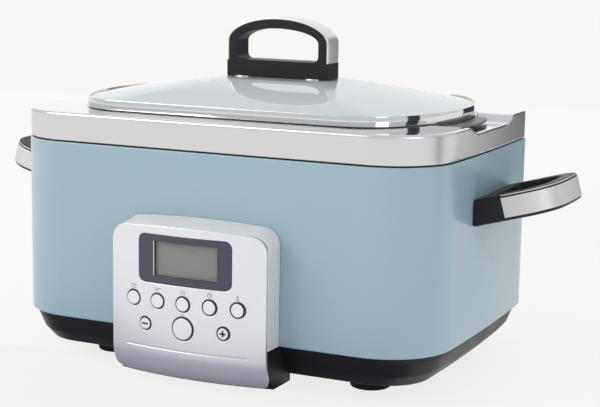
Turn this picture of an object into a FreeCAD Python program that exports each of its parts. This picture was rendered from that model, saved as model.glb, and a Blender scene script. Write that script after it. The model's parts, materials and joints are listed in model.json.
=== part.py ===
"""Six-quart slow cooker, free-standing: housing, lift-out cooking pot, glass lid and control panel.

Millimetres.  +X runs along the length, the control panel faces -Y and +Z is up.  The model is drawn
with its origin under the middle of the body and is moved back by BODY_SHIFT when it is saved, so that
the saved origin is the middle of the whole object's footprint, at the level it stands on.
"""
import os
import FreeCAD
import Part
from math import atan2, cos, pi, sin, sqrt

V = FreeCAD.Vector
X_AXIS = V(1, 0, 0)
Y_AXIS = V(0, 1, 0)
Z_AXIS = V(0, 0, 1)

# ---- Driving dimensions -------------------------------------------------------------------------
HALF_LENGTH = 195.0          # collar, middle of its bowed end
HALF_DEPTH = 140.8           # collar, middle of its front
CORNER_R = 56.0
END_BOW = 4.8                # how far the ends bulge over the full depth
SIDE_BOW = 1.0               # how far the front and back bulge over the full length

BASE_BOTTOM = 14.7
SHELL_BOTTOM = 41.2
SHELL_TOP = 190.9
COLLAR_BOTTOM = 191.9
COLLAR_TOP = 215.6
SHELL_PROUD = 0.8            # painted shell stands this far outside the collar
SHEET = 0.8                  # steel sheet thickness
SCREW_CLEAR = 2.3            # radius of a clearance hole for the M4 screws
BASE_INSET = 17.9            # base bottom, measured in from the collar outline

LID_HALF_LENGTH = 170.0
LID_HALF_DEPTH = 111.0
LID_CORNER_R = 50.0
LID_END_BOW = 44.0
LID_SIDE_BOW = 3.0
RIM_BOTTOM = 216.2
RIM_TOP = 224.7
CROWN = 241.6                # top of the glass, where the handle stands
GLASS = 4.0
GLASS_EDGE_BOTTOM = 218.6
GLASS_EDGE_TOP = 223.1
RIM_LIP = 3.4                # how far the rim folds in over the glass
RIM_SKIRT = 8.0              # and how far in under it
FLAT_CROWN = 0.3             # share of the outline that stays level round the handle
DOME_POWER = 1.25            # 1 would be a cone outside the flat crown

VENT_LOW = 159.0             # lowest of the four vent slots at each rear corner
VENT_PITCH = 5.8
VENT_HEIGHT = 2.2
VENT_TURN = 27.0             # degrees round the corner, from the end
RIBBON_HOLE = (-11.0, 11.0, 52.0, 59.0)  # x from, x to, z from, z to

LEDGE = 213.0                # collar ledge that carries the pot flange
LEDGE_WIDTH = 12.0
DECK = 2.0                   # folded double sheet of the collar top
NOTCH_FLOOR = 209.4          # finger notch at each end of the collar
NOTCH_HALF_FLOOR = 35.6
NOTCH_HALF_TOP = 58.0

POT_BOTTOM = 97.0
POT_WALL = 2.5
POT_TOP_INSET = 18.0         # pot wall outside, measured in from the lid outline
POT_BOTTOM_INSET = 24.0
POT_FLANGE_TOP = 215.8
POT_EAR_REACH = 183.0
POT_EAR_HALF = 40.0
POT_EAR_R = 106.0

PLATE_TOP = 96.6
PLATE_FLANGE_BOTTOM = 87.3
PLATE_BOTTOM = 80.0
LINER_BOTTOM = 86.0
LINER_TOP = 207.7
LINER_INSET = 14.0           # liner wall outside, measured in from the lid outline
LIGHT_SHEET = 0.8            # liner wall and heat shield
PLATE_HALF_LENGTH = 125.0
PLATE_HALF_DEPTH = 75.0
PLATE_CORNER_R = 40.0
ELEMENT_Z = 81.0
ELEMENT_R = 3.5
ELEMENT_BEND = 9.0
ELEMENT_END_Y = 14.0         # the two ends of the element, either side of the middle
SHIELD_Z = 60.0
SHIELD_HEIGHT = 12.0
SHIELD_INSET = 12.0
TRAY_FLOOR = 17.2
POWER_BOARD_Z = 24.0
LEAD_X = 92.0                # where the heater leads rise through the heat shield

FOOT_X = 122.0
FOOT_Y = 76.6
FOOT_R = 18.9
BASE_SCREW_X = 134.0
BASE_SCREW_Y = 40.0

HANDLE_TILT = 15.7           # side handles rise outwards, degrees
HANDLE_REACH = 66.5
HANDLE_HALF_WIDTH = 47.5
HANDLE_HEIGHT = 21.5
HANDLE_BAR = 13.0
HANDLE_ROOT_Z = 156.7        # top of the handle at the shell
HANDLE_ROOT_X = 196.0
HANDLE_SUNK = 14.0           # how far the loop is drawn past the shell before it is trimmed to it
HANDLE_PLATE = 1.4
HANDLE_RIM = 2.2             # black edge left above and below the plate
HANDLE_SCREW_Y = 30.0
HANDLE_SCREW_Z = 147.0
HANDLE_SCREW_SEAT = 194.6    # underside of the screw heads, inside the shell
HANDLE_CORNER_R = 26.0
HANDLE_ROOT_BAR = 9.5
PLATE_START = 22.0           # where the bright plate starts, measured out from the shell

PANEL_HALF_WIDTH = 70.0
FACE_APEX = -173.5           # foremost line of the bowed panel face
FACE_BOW_R = 310.0
FACE_THICKNESS = 2.5
FACE_TOP = 135.6
FACE_BOTTOM = 9.0
FACE_BEND_Z = 32.0           # below this the face curls back
FACE_BEND_R = 26.85
FACE_BEND_DEPTH = 13.0       # how far the curl goes back
FACE_AXIS_Y = FACE_APEX + FACE_BOW_R
BEZEL_BACK_TOP = 139.2
BEZEL_WALL = 2.5
BEZEL_BOTTOM = 42.0
BEZEL_DEPTH = 24.6
BEZEL_DROP = 3.5             # the bezel's top slopes down towards the face
PANEL_CORNER_R = 14.0
PANEL_BACK = -141.8
PANEL_GAP = 0.3
PANEL_CROWN = 3.0            # rise of the arched top edge
PANEL_WALL = 2.2             # moulded housing behind the face
PANEL_SCREW_SEAT = -140.2    # underside of the screw heads, inside the shell
PANEL_BORE_END = -149.0      # blind end of the screw holes in the housing's bosses
FACE_CORNER_R = 9.0          # lower corners of the face
GROOVE = (-55.0, 55.0, 35.1, 35.9)       # x from, x to, z from, z to

WINDOW = (-42.2, 42.2, 88.5, 128.0)      # x from, x to, z from, z to
DISPLAY = (-26.4, 29.8, 94.9, 122.5)
WINDOW_CORNER_R = 6.0

BUTTON_PITCH = 23.6
BUTTON_ROW_Z = 74.2
LOWER_ROW_Z = 54.3
LOWER_ROW_X = 35.4
MODE_HOLE_R = 6.6
START_HOLE_R = 9.8
STEP_HOLE_R = 5.7
BUTTON_GAP = 0.9             # ring of shadow between a cap and its hole
BUTTON_LIP = 1.2
STEM_END = -161.2
SWITCH_TIP = -160.1
BOARD_FRONT = -156.5
BOARD = 1.6
PANEL_SCREW_X = 52.0
PANEL_SCREW_Z = (60.0, 112.0)

LID_HANDLE_HALF = 48.7
LID_HANDLE_DEPTH = 22.8
LID_HANDLE_STEP = 256.0
LID_HANDLE_SHOULDER = 272.5
LID_HANDLE_TOP = 294.0
LID_HANDLE_BAR = 8.0
STRAP = 1.5
LID_SCREW_X = 36.0

SENSOR_R = 14.7
SENSOR_TOP = 96.6
SENSOR_HOUSING_R = 20.8
SPRING_SEAT = 68.0
SPRING_TOP = 94.0
GLAND_X = 120.0
GLAND_Z = 28.0
GLAND_BORE_R = 3.6
GLAND_INNER = 123.0
GLAND_SEAT = 137.0
GLAND_OUTER = 139.5

SHELL_REAR = HALF_DEPTH + SHELL_PROUD
BODY_SHIFT = -(SHELL_REAR + FACE_APEX) / 2

BUTTONS = {
    "button_slow_cook": (-2 * BUTTON_PITCH, BUTTON_ROW_Z, MODE_HOLE_R),
    "button_brown": (-BUTTON_PITCH, BUTTON_ROW_Z, MODE_HOLE_R),
    "button_steam": (0.0, BUTTON_ROW_Z, MODE_HOLE_R),
    "button_time": (BUTTON_PITCH, BUTTON_ROW_Z, MODE_HOLE_R),
    "button_temp": (2 * BUTTON_PITCH, BUTTON_ROW_Z, MODE_HOLE_R),
    "button_minus": (-LOWER_ROW_X, LOWER_ROW_Z, STEP_HOLE_R),
    "button_start": (0.0, LOWER_ROW_Z, START_HOLE_R),
    "button_plus": (LOWER_ROW_X, LOWER_ROW_Z, STEP_HOLE_R),
}
CORNERS = [(sx, sy) for sx in (-1, 1) for sy in (-1, 1)]


# ---- Geometry helpers ---------------------------------------------------------------------------
class Outline:
    """Rounded rectangle whose four sides are shallow arcs, all tangent to the corner arcs."""

    def __init__(self, half_x, half_y, corner_r, bow_x, bow_y):
        self.half_x, self.half_y, self.corner_r = half_x, half_y, corner_r
        self.bow_x, self.bow_y = bow_x, bow_y
        end_r = (half_y ** 2 + bow_x ** 2) / (2 * bow_x)
        side_r = (half_x ** 2 + bow_y ** 2) / (2 * bow_y)
        self.end_centre = V(half_x - end_r, 0, 0)
        self.side_centre = V(0, half_y - side_r, 0)
        self.end_r, self.side_r = end_r, side_r
        self.corner = self._corner_centre()

    def _corner_centre(self):
        """Centre of the corner arc: inside both side arcs by the corner radius."""
        reach_a, reach_b = self.end_r - self.corner_r, self.side_r - self.corner_r
        line = self.side_centre - self.end_centre
        span = line.Length
        along = (reach_a ** 2 - reach_b ** 2 + span ** 2) / (2 * span)
        off = sqrt(reach_a ** 2 - along ** 2)
        unit = line / span
        square = V(unit.y, -unit.x, 0)
        foot = self.end_centre + unit * along
        return max((foot + square * s * off for s in (-1, 1)), key=lambda p: p.x + p.y)

    def scaled(self, factor):
        return Outline(self.half_x * factor, self.half_y * factor, self.corner_r * factor,
                       self.bow_x * factor, self.bow_y * factor)

    def wire(self, inset, z):
        to_end = (self.corner - self.end_centre).normalize()
        to_side = (self.corner - self.side_centre).normalize()
        middle = (to_end + to_side).normalize()
        low = self.end_centre + to_end * (self.end_r - inset)
        high = self.side_centre + to_side * (self.side_r - inset)
        round_mid = self.corner + middle * (self.corner_r - inset)

        def at(point, sx, sy):
            return V(point.x * sx, point.y * sy, z)

        end, side = V(self.half_x - inset, 0, 0), V(0, self.half_y - inset, 0)
        arcs = [
            (at(low, 1, -1), at(end, 1, 1), at(low, 1, 1)),
            (at(low, 1, 1), at(round_mid, 1, 1), at(high, 1, 1)),
            (at(high, 1, 1), at(side, 1, 1), at(high, -1, 1)),
            (at(high, -1, 1), at(round_mid, -1, 1), at(low, -1, 1)),
            (at(low, -1, 1), at(end, -1, 1), at(low, -1, -1)),
            (at(low, -1, -1), at(round_mid, -1, -1), at(high, -1, -1)),
            (at(high, -1, -1), at(side, 1, -1), at(high, 1, -1)),
            (at(high, 1, -1), at(round_mid, 1, -1), at(low, 1, -1)),
        ]
        return Part.Wire([Part.Arc(*points).toShape() for points in arcs])

    def stack(self, levels):
        """Solid through the outline at each (inset, z) level."""
        return Part.makeLoft([self.wire(inset, z) for inset, z in levels], True, True)

    def ring(self, outer_inset, inner_inset, low, high):
        outer = self.stack([(outer_inset, low), (outer_inset, high)])
        return outer.cut(self.stack([(inner_inset, low - 1), (inner_inset, high + 1)]))


def box(x0, x1, y0, y1, z0, z1):
    return Part.makeBox(x1 - x0, y1 - y0, z1 - z0, V(x0, y0, z0))


def post(x, y, z0, z1, r):
    return Part.makeCylinder(r, z1 - z0, V(x, y, z0), Z_AXIS)


def rod_y(x, z, y0, y1, r):
    return Part.makeCylinder(r, y1 - y0, V(x, y0, z), Y_AXIS)


def rod_x(y, z, x0, x1, r):
    return Part.makeCylinder(r, x1 - x0, V(x0, y, z), X_AXIS)


def fuse(shapes):
    shapes = list(shapes)
    return shapes[0].multiFuse(shapes[1:]) if len(shapes) > 1 else shapes[0]


def cut(shape, tools):
    return shape.cut(fuse(tools))


def extruded(points, direction):
    """Prism on a closed polygon."""
    return Part.Face(Part.makePolygon(points + [points[0]])).extrude(direction)


def rounded(shape, radius, chosen):
    """Fillet the edges whose middle point passes the test."""
    edges = [e for e in shape.Edges if chosen(e.valueAt((e.FirstParameter + e.LastParameter) / 2), e)]
    return shape.makeFillet(radius, edges)


def along_y(edge):
    a, b = edge.Vertexes[0].Point, edge.Vertexes[-1].Point
    return edge.Curve.TypeId == "Part::GeomLine" and abs(a.x - b.x) < 1e-6 and abs(a.y - b.y) > 1


def screw(length, shank_r, head_r, head_h):
    """Pan-head screw on Z: the head lies below z = 0 and the shank runs up from it."""
    head = Part.makeCylinder(head_r, head_h, V(0, 0, -head_h))
    head = rounded(head, head_h * 0.45, lambda p, e: p.z < -head_h + 1e-6 and len(e.Vertexes) == 1)
    reach, half = head_r * 0.6, 0.5
    cross = [box(-reach, reach, -half, half, -head_h, -head_h * 0.45),
             box(-half, half, -reach, reach, -head_h, -head_h * 0.45)]
    head = cut(head, cross)
    return head.fuse(Part.makeCylinder(shank_r, length, V(0, 0, 0)))


def placed(shape, position, direction):
    """Copy of a shape drawn on Z, turned to a direction and moved to a position."""
    copy = shape.copy()
    copy.Placement = FreeCAD.Placement(position, FreeCAD.Rotation(Z_AXIS, direction))
    return copy


def tube_along(points, bend_r, r):
    """Round bar along straight runs joined by tangent arcs."""
    edges, start = [], points[0]
    for before, corner, after in zip(points, points[1:], points[2:]):
        a, b = (before - corner).normalize(), (after - corner).normalize()
        half = a.getAngle(b) / 2
        reach = bend_r / (sin(half) / cos(half))
        centre = corner + (a + b).normalize() * (bend_r / sin(half))
        inward = (corner - centre).normalize() * bend_r
        edges.append(Part.LineSegment(start, corner + a * reach).toShape())
        edges.append(Part.Arc(corner + a * reach, centre + inward, corner + b * reach).toShape())
        start = corner + b * reach
    edges.append(Part.LineSegment(start, points[-1]).toShape())
    direction = (points[1] - points[0]).normalize()
    section = Part.Wire([Part.makeCircle(r, points[0], direction)])
    return Part.Wire(edges).makePipeShell([section], True, True)


BODY = Outline(HALF_LENGTH, HALF_DEPTH, CORNER_R, END_BOW, SIDE_BOW)
LID = Outline(LID_HALF_LENGTH, LID_HALF_DEPTH, LID_CORNER_R, LID_END_BOW, LID_SIDE_BOW)
PLATE = Outline(PLATE_HALF_LENGTH, PLATE_HALF_DEPTH, PLATE_CORNER_R, 4.0, 2.0)
BASE_LEVELS = [(BASE_INSET, BASE_BOTTOM), (10.0, 24.0), (4.5, 36.5), (0.3, SHELL_BOTTOM)]


# ---- Housing ------------------------------------------------------------------------------------
def vent_slots():
    """Four short slots, one above another, round each rear corner."""
    slots = []
    for side in (-1, 1):
        corner = V(side * BODY.corner.x, BODY.corner.y, 0)
        turn = VENT_TURN if side > 0 else 180.0 - VENT_TURN
        for level in range(4):
            low = VENT_LOW + VENT_PITCH * level
            slot = box(CORNER_R - 6, CORNER_R + 6, -10, 10, low, low + VENT_HEIGHT)
            slot.rotate(V(0, 0, 0), Z_AXIS, turn)
            slot.translate(corner)
            slots.append(slot)
    return slots


def outer_shell():
    shell = BODY.ring(-SHELL_PROUD, SHEET - SHELL_PROUD, SHELL_BOTTOM, SHELL_TOP)
    top_lip, bottom_lip, overlap = 8.0, 14.0, -SHELL_PROUD + 0.4
    lips = [BODY.ring(overlap, top_lip, SHELL_TOP - SHEET, SHELL_TOP),
            BODY.ring(overlap, bottom_lip, SHELL_BOTTOM, SHELL_BOTTOM + SHEET)]
    shell = fuse([shell] + lips)
    holes = vent_slots()
    holes += [rod_y(sx * PANEL_SCREW_X, z, -150, -130, SCREW_CLEAR) for sx in (-1, 1) for z in PANEL_SCREW_Z]
    holes += [rod_x(sy * HANDLE_SCREW_Y, HANDLE_SCREW_Z, sx * HALF_LENGTH - 10, sx * HALF_LENGTH + 10,
                    SCREW_CLEAR) for sx, sy in CORNERS]
    holes.append(ribbon_hole(-150, -130))
    return cut(shell, holes)


def ribbon_hole(y0, y1):
    x0, x1, z0, z1 = RIBBON_HOLE
    return box(x0, x1, y0, y1, z0, z1)


def notch_block(grow, low):
    """Finger notch at both ends: a channel with sloping sides, from the pot out through the wall."""
    start, top, over = 120.0, NOTCH_HALF_TOP + grow, COLLAR_TOP + 2
    floor = NOTCH_HALF_FLOOR + grow
    profile = [V(start, -top, COLLAR_TOP), V(start, -floor, low), V(start, floor, low),
               V(start, top, COLLAR_TOP), V(start, top, over), V(start, -top, over)]
    right = extruded(profile, V(100, 0, 0))
    return right.fuse(right.mirror(V(0, 0, 0), X_AXIS))


def collar():
    deck_bottom = COLLAR_TOP - DECK
    notch_bottom = NOTCH_FLOOR - DECK + 0.5
    wall = LEDGE_WIDTH + SHEET
    solid = BODY.stack([(0, COLLAR_BOTTOM), (0, COLLAR_TOP - 2.4), (0.7, COLLAR_TOP - 0.7),
                        (2.4, COLLAR_TOP)])
    hollow = BODY.stack([(SHEET, COLLAR_BOTTOM - 1), (SHEET, deck_bottom - 1.5), (3.0, deck_bottom)])
    frame = solid.cut(hollow)
    frame = fuse([frame, LID.ring(-1.0, LEDGE_WIDTH, LEDGE - DECK, COLLAR_TOP - 0.5),
                  LID.ring(LEDGE_WIDTH - SHEET, wall, notch_bottom, LEDGE),
                  solid.common(notch_block(2.0, notch_bottom))])
    opening = LID.stack([(wall, LINER_TOP), (wall, RIM_TOP)])
    recess = LID.stack([(1.0, LEDGE), (1.0, RIM_TOP)])
    skirt_room = LID.stack([(LEDGE_WIDTH, LEDGE), (LEDGE_WIDTH, RIM_TOP)])
    return cut(frame, [opening, recess, skirt_room, notch_block(0, NOTCH_FLOOR)])


def shell_gasket():
    return BODY.ring(0.4, 5.0, SHELL_TOP, COLLAR_BOTTOM)


def inner_liner():
    inside, overlap = LINER_INSET + LIGHT_SHEET, LINER_INSET + LIGHT_SHEET / 2
    wall = LID.ring(LINER_INSET, inside, LINER_BOTTOM, LINER_TOP)
    lip = LID.ring(5.0, overlap, LINER_TOP - SHEET, LINER_TOP)
    floor = LID.stack([(overlap, LINER_BOTTOM), (overlap, LINER_BOTTOM + SHEET)])
    stand_offs = [post(sx * BASE_SCREW_X, sy * BASE_SCREW_Y, SHIELD_Z + LIGHT_SHEET, LINER_BOTTOM + 0.4,
                       5.0) for sx, sy in CORNERS]
    liner = fuse([wall, lip, floor] + stand_offs)
    return cut(liner, [PLATE.stack([(6.0, PLATE_BOTTOM), (6.0, PLATE_TOP)])] + base_screw_shanks())


def element_solid():
    """Tubular heating element: one open loop under the plate, both ends at the right."""
    run, turn_x, far_x, tail_x = 46.0, 84.0, -92.0, 104.0
    half = [(far_x, run), (turn_x, run), (turn_x, ELEMENT_END_Y), (tail_x, ELEMENT_END_Y)]
    route = [(x, -y) for x, y in reversed(half)] + half
    return tube_along([V(x, y, ELEMENT_Z) for x, y in route], ELEMENT_BEND, ELEMENT_R)


def heating_plate(element):
    plate = PLATE.stack([(0, PLATE_FLANGE_BOTTOM), (0, PLATE_TOP - 1.5), (1.5, PLATE_TOP)])
    plate = plate.fuse(PLATE.stack([(8.0, PLATE_BOTTOM), (7.0, PLATE_FLANGE_BOTTOM)]))
    pocket = box(92, 130, -22, 22, 70, PLATE_FLANGE_BOTTOM - 0.3)
    return cut(plate, [element, post(0, 0, 60, 120, SENSOR_HOUSING_R + 0.2), pocket])


def heater_terminals():
    """A ceramic sleeve with its tab on each end of the element."""
    parts = []
    for side in (-1, 1):
        y = side * ELEMENT_END_Y
        sleeve = rod_x(y, ELEMENT_Z, 104.0, 112.0, 4.5)
        parts.append(sleeve.fuse(box(112, 120, y - 3, y + 3, ELEMENT_Z - 0.4, ELEMENT_Z + 0.4)))
    return parts


def sensor_housing():
    tube = post(0, 0, SPRING_SEAT - 2, 95, SENSOR_HOUSING_R).cut(post(0, 0, SPRING_SEAT, 96, SENSOR_R + 0.4))
    return tube.cut(post(0, 0, 60, 70, 3.0))


def temperature_sensor():
    cap = post(0, 0, 80, SENSOR_TOP, SENSOR_R)
    cap = rounded(cap, 1.0, lambda p, e: p.z > SENSOR_TOP - 1e-6 and len(e.Vertexes) == 1)
    return cap.cut(post(0, 0, 79, SPRING_TOP, 12.5))


def sensor_spring():
    """Coil between the bottom of its housing and the sensor cap, of six-sided wire."""
    wire_r, coil_r, pitch = 0.6, 9.0, 4.2
    bottom, top = SPRING_SEAT + wire_r + 0.1, SPRING_TOP - wire_r - 0.1
    corners = [V(coil_r + wire_r * cos(k * pi / 3), 0, wire_r * sin(k * pi / 3)) for k in range(6)]
    section = Part.makePolygon(corners + [corners[0]])
    helix = Part.makeLongHelix(pitch, top - bottom, coil_r)
    spring = Part.Wire(helix.Edges).makePipeShell([section], True, True)
    spring.translate(V(0, 0, bottom))
    return spring


def thermal_fuse():
    body = rod_x(0, 77.4, -70, -56, 2.4)
    strap = box(-66, -60, -12, 12, 79.2, PLATE_BOTTOM).fuse(box(-66, -60, -1.2, 1.2, 77.4, 79.6))
    return body.fuse(strap)


def heat_shield():
    top, flare = SHIELD_Z + SHIELD_HEIGHT, 2.0
    pan = LID.stack([(SHIELD_INSET, SHIELD_Z), (SHIELD_INSET - flare, top)])
    inside = SHIELD_INSET + LIGHT_SHEET
    pan = pan.cut(LID.stack([(inside, SHIELD_Z + LIGHT_SHEET), (inside - flare, top)]))
    holes = [post(sx * BASE_SCREW_X, sy * BASE_SCREW_Y, 55, 65, SCREW_CLEAR) for sx, sy in CORNERS]
    holes += [post(LEAD_X, sy * ELEMENT_END_Y, 55, 65, 4.0) for sy in (-1, 1)]
    return cut(pan, holes)


def base_outer():
    return BODY.stack(BASE_LEVELS)


def base_screw_shanks():
    return [post(sx * BASE_SCREW_X, sy * BASE_SCREW_Y, 18, 70, 1.9) for sx, sy in CORNERS]


def foot_screw_shanks():
    return [post(sx * FOOT_X, sy * FOOT_Y, 6, 24, 2.0) for sx, sy in CORNERS]


def base_tray():
    wall = 2.5
    hollow = BODY.stack([(BASE_INSET + wall, TRAY_FLOOR), (10.0 + wall, 25.0), (4.5 + wall, 37.5),
                         (3.2, SHELL_BOTTOM + 1)])
    tray = base_outer().cut(hollow)
    bosses = [post(sx * BASE_SCREW_X, sy * BASE_SCREW_Y, 15.5, SHIELD_Z, 6.0) for sx, sy in CORNERS]
    bosses += [post(sx * FOOT_X, sy * FOOT_Y, 15.5, 26, 6.0) for sx, sy in CORNERS]
    bosses += [post(sx * 62.0, sy * 42.0, 15.5, POWER_BOARD_Z, 4.0) for sx, sy in CORNERS]
    seat = rod_y(GLAND_X, GLAND_Z, GLAND_INNER + 3, GLAND_SEAT, 10.0)
    tray = fuse([tray, seat] + bosses)
    cuts = [post(sx * BASE_SCREW_X, sy * BASE_SCREW_Y, 10, 18, 4.4) for sx, sy in CORNERS]
    cuts += [post(sx * BASE_SCREW_X, sy * BASE_SCREW_Y, 17, 61, 2.1) for sx, sy in CORNERS]
    cuts += foot_screw_shanks()
    cuts.append(rod_y(GLAND_X, GLAND_Z, GLAND_INNER, GLAND_SEAT + 5, 6.5))
    cuts += [box(20 * i - 52, 20 * i - 48, sy * 62 - 18, sy * 62 + 18, 10, TRAY_FLOOR + 1)
             for i in range(6) for sy in (-1, 1)]
    return cut(tray, cuts)


def foot(sx, sy):
    body = Part.makeCone(16.5, FOOT_R, BASE_BOTTOM, V(sx * FOOT_X, sy * FOOT_Y, 0))
    return cut(body, [post(sx * FOOT_X, sy * FOOT_Y, -1, 6, 5.5),
                      post(sx * FOOT_X, sy * FOOT_Y, 5, 20, 2.0)])


def cord_gland():
    gland = fuse([rod_y(GLAND_X, GLAND_Z, GLAND_INNER, GLAND_SEAT, 6.4),
                  rod_y(GLAND_X, GLAND_Z, GLAND_SEAT, GLAND_OUTER, 9.0)])
    return gland.cut(rod_y(GLAND_X, GLAND_Z, GLAND_INNER - 1, GLAND_OUTER + 1, GLAND_BORE_R))


def power_pcb():
    board = box(-70, 70, -50, 50, POWER_BOARD_Z, POWER_BOARD_Z + BOARD)
    return board.cut(box(-8.6, 8.6, -51, -44, 20, 30))


def power_board_parts():
    """Relay, transformer, heat sink, two capacitors, input and output terminal blocks."""
    top = POWER_BOARD_Z + BOARD
    heat_sink = box(-60, -25, 24, 27, top, 50)
    fins = [box(-58 + 6 * i, -56 + 6 * i, 27, 38, top, 50) for i in range(6)]
    return [box(30, 50, -36, -20, top, 42), box(-50, -18, -30, -4, top, 48), heat_sink.multiFuse(fins),
            post(0, 20, top, 48, 7.0), post(18, 22, top, 44, 6.0),
            box(56, 68, 14, 42, top, 38), box(56, 68, -10, 10, top, 36)]


def heater_leads():
    """Two insulated wires from the output terminals up to the element's tabs."""
    start_x, start_y = 62.0, 4.0
    return [tube_along([V(start_x, sy * start_y, 36.2), V(start_x, sy * start_y, 46),
                        V(LEAD_X, sy * ELEMENT_END_Y, 52), V(LEAD_X, sy * ELEMENT_END_Y, 74)], 5.0, 1.6)
            for sy in (-1, 1)]


def handle_loop(outer_inset, inner_inset, low, high):
    """Ring of the side handle's loop in its own frame, reaching HANDLE_SUNK into the body."""
    loop = Outline(HANDLE_REACH + HANDLE_SUNK, HANDLE_HALF_WIDTH, HANDLE_CORNER_R, 5.0, 1.5)
    return loop.ring(outer_inset, inner_inset, low, high)


def to_right_end(shape):
    """Tilt a shape in the handle's frame and move it to the right-hand end."""
    shape = shape.copy()
    shape.translate(V(-HANDLE_SUNK, 0, 0))
    shape.rotate(V(0, 0, 0), Y_AXIS, -HANDLE_TILT)
    shape.translate(V(HANDLE_ROOT_X, 0, HANDLE_ROOT_Z))
    return shape


def side_handle_right():
    half_root = HANDLE_HALF_WIDTH - 6
    root = box(0, HANDLE_SUNK + HANDLE_ROOT_BAR, -half_root, half_root, -HANDLE_HEIGHT, 0)
    loop = to_right_end(handle_loop(0, HANDLE_BAR, -HANDLE_HEIGHT, 0).fuse(root))
    body_block = BODY.stack([(-SHELL_PROUD, 100), (-SHELL_PROUD, 200)])
    shanks = [rod_x(sy * HANDLE_SCREW_Y, HANDLE_SCREW_Z, 190, 203, 2.0) for sy in (-1, 1)]
    return cut(loop, [body_block, handle_plate_right()] + shanks)


def handle_plate_right():
    ring = handle_loop(0, HANDLE_PLATE, -HANDLE_HEIGHT + HANDLE_RIM, -HANDLE_RIM)
    keep = box(HANDLE_SUNK + PLATE_START, HANDLE_SUNK + 90, -60, 60, -HANDLE_HEIGHT, 0)
    return to_right_end(ring.common(keep))


def handle_screws():
    model = screw(HANDLE_ROOT_X - HANDLE_SCREW_SEAT + 7.0, 2.0, 4.0, 2.6)
    return [placed(model, V(sx * HANDLE_SCREW_SEAT, sy * HANDLE_SCREW_Y, HANDLE_SCREW_Z), V(sx, 0, 0))
            for sx, sy in CORNERS]


# ---- Control panel ------------------------------------------------------------------------------
def face_y(x, depth=0.0):
    """Y of the bowed face, or of a surface that lies the given depth behind it."""
    return FACE_AXIS_Y - sqrt((FACE_BOW_R - depth) ** 2 - x ** 2)


def face_leg(depth):
    """Start, middle and end of the curl at the bottom of a surface behind the face, in section."""
    end = atan2(FACE_BOTTOM - FACE_BEND_Z, FACE_BEND_R - FACE_BEND_DEPTH)
    r = FACE_BEND_R - depth
    centre_y = FACE_APEX + FACE_BEND_R
    return [V(0, centre_y - r * cos(a), FACE_BEND_Z + r * sin(a)) for a in (0, end / 2, end)]


def bowed(edges):
    """Sweep a section, drawn in the middle plane, round the face's upright axis."""
    half_turn = 16.0
    section = Part.Face(Part.Wire([e.toShape() for e in edges]))
    section.rotate(V(0, FACE_AXIS_Y, 0), Z_AXIS, -half_turn)
    return section.revolve(V(0, FACE_AXIS_Y, 0), Z_AXIS, 2 * half_turn)


def face_zone(front, back):
    """Space between two depths behind the face's outer surface, curled back at the bottom."""
    top = 160.0
    outer, inner = face_leg(front), face_leg(back)
    front_top, back_top = V(0, outer[0].y, top), V(0, inner[0].y, top)
    return bowed([Part.LineSegment(front_top, outer[0]), Part.Arc(*outer),
                  Part.LineSegment(outer[2], inner[2]), Part.Arc(*reversed(inner)),
                  Part.LineSegment(inner[0], back_top), Part.LineSegment(back_top, front_top)])


def behind_face(depth):
    """Everything behind a surface at the given depth, down to just below the panel's bottom edge."""
    top, back, low = 160.0, -90.0, FACE_BOTTOM - 2
    leg = face_leg(depth)
    loop = [leg[2], V(0, leg[2].y, low), V(0, back, low), V(0, back, top), V(0, leg[0].y, top), leg[0]]
    edges = [Part.LineSegment(a, b) for a, b in zip(loop, loop[1:])]
    return bowed(edges + [Part.Arc(*leg)])


def panel_block(half_width, top, bottom, bottom_r, back, travel):
    """Block with an arched top and rounded corners, drawn at its back and extruded forwards."""
    side = top - PANEL_CROWN
    corners = [V(half_width, back, side), V(half_width, back, bottom),
               V(-half_width, back, bottom), V(-half_width, back, side)]
    edges = [Part.LineSegment(a, b).toShape() for a, b in zip(corners, corners[1:])]
    edges.append(Part.Arc(corners[3], V(0, back, top), corners[0]).toShape())
    block = Part.Face(Part.Wire(edges)).extrude(travel)
    inner_r = PANEL_CORNER_R - (PANEL_HALF_WIDTH - half_width)
    middle = (side + bottom) / 2
    block = rounded(block, inner_r, lambda p, e: slanted(e) and p.z > middle)
    if bottom_r:
        block = rounded(block, bottom_r, lambda p, e: slanted(e) and p.z < middle)
    return block


def slanted(edge):
    """True for a straight edge that runs from the back of the panel to its front."""
    a, b = edge.Vertexes[0].Point, edge.Vertexes[-1].Point
    return abs(a.x - b.x) < 1e-6 and abs(a.y - b.y) > 1


def bezel_block(inset):
    drop = V(0, -BEZEL_DEPTH - 10, -BEZEL_DROP * (BEZEL_DEPTH + 10) / BEZEL_DEPTH)
    return panel_block(PANEL_HALF_WIDTH - inset, BEZEL_BACK_TOP - inset, 20.0, 0, PANEL_BACK, drop)


def panel_bezel():
    ring = bezel_block(0).cut(bezel_block(BEZEL_WALL))
    room = behind_face(FACE_THICKNESS + PANEL_GAP)
    return ring.common(room).common(box(-80, 80, -180, PANEL_BACK, BEZEL_BOTTOM, 150))


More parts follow.
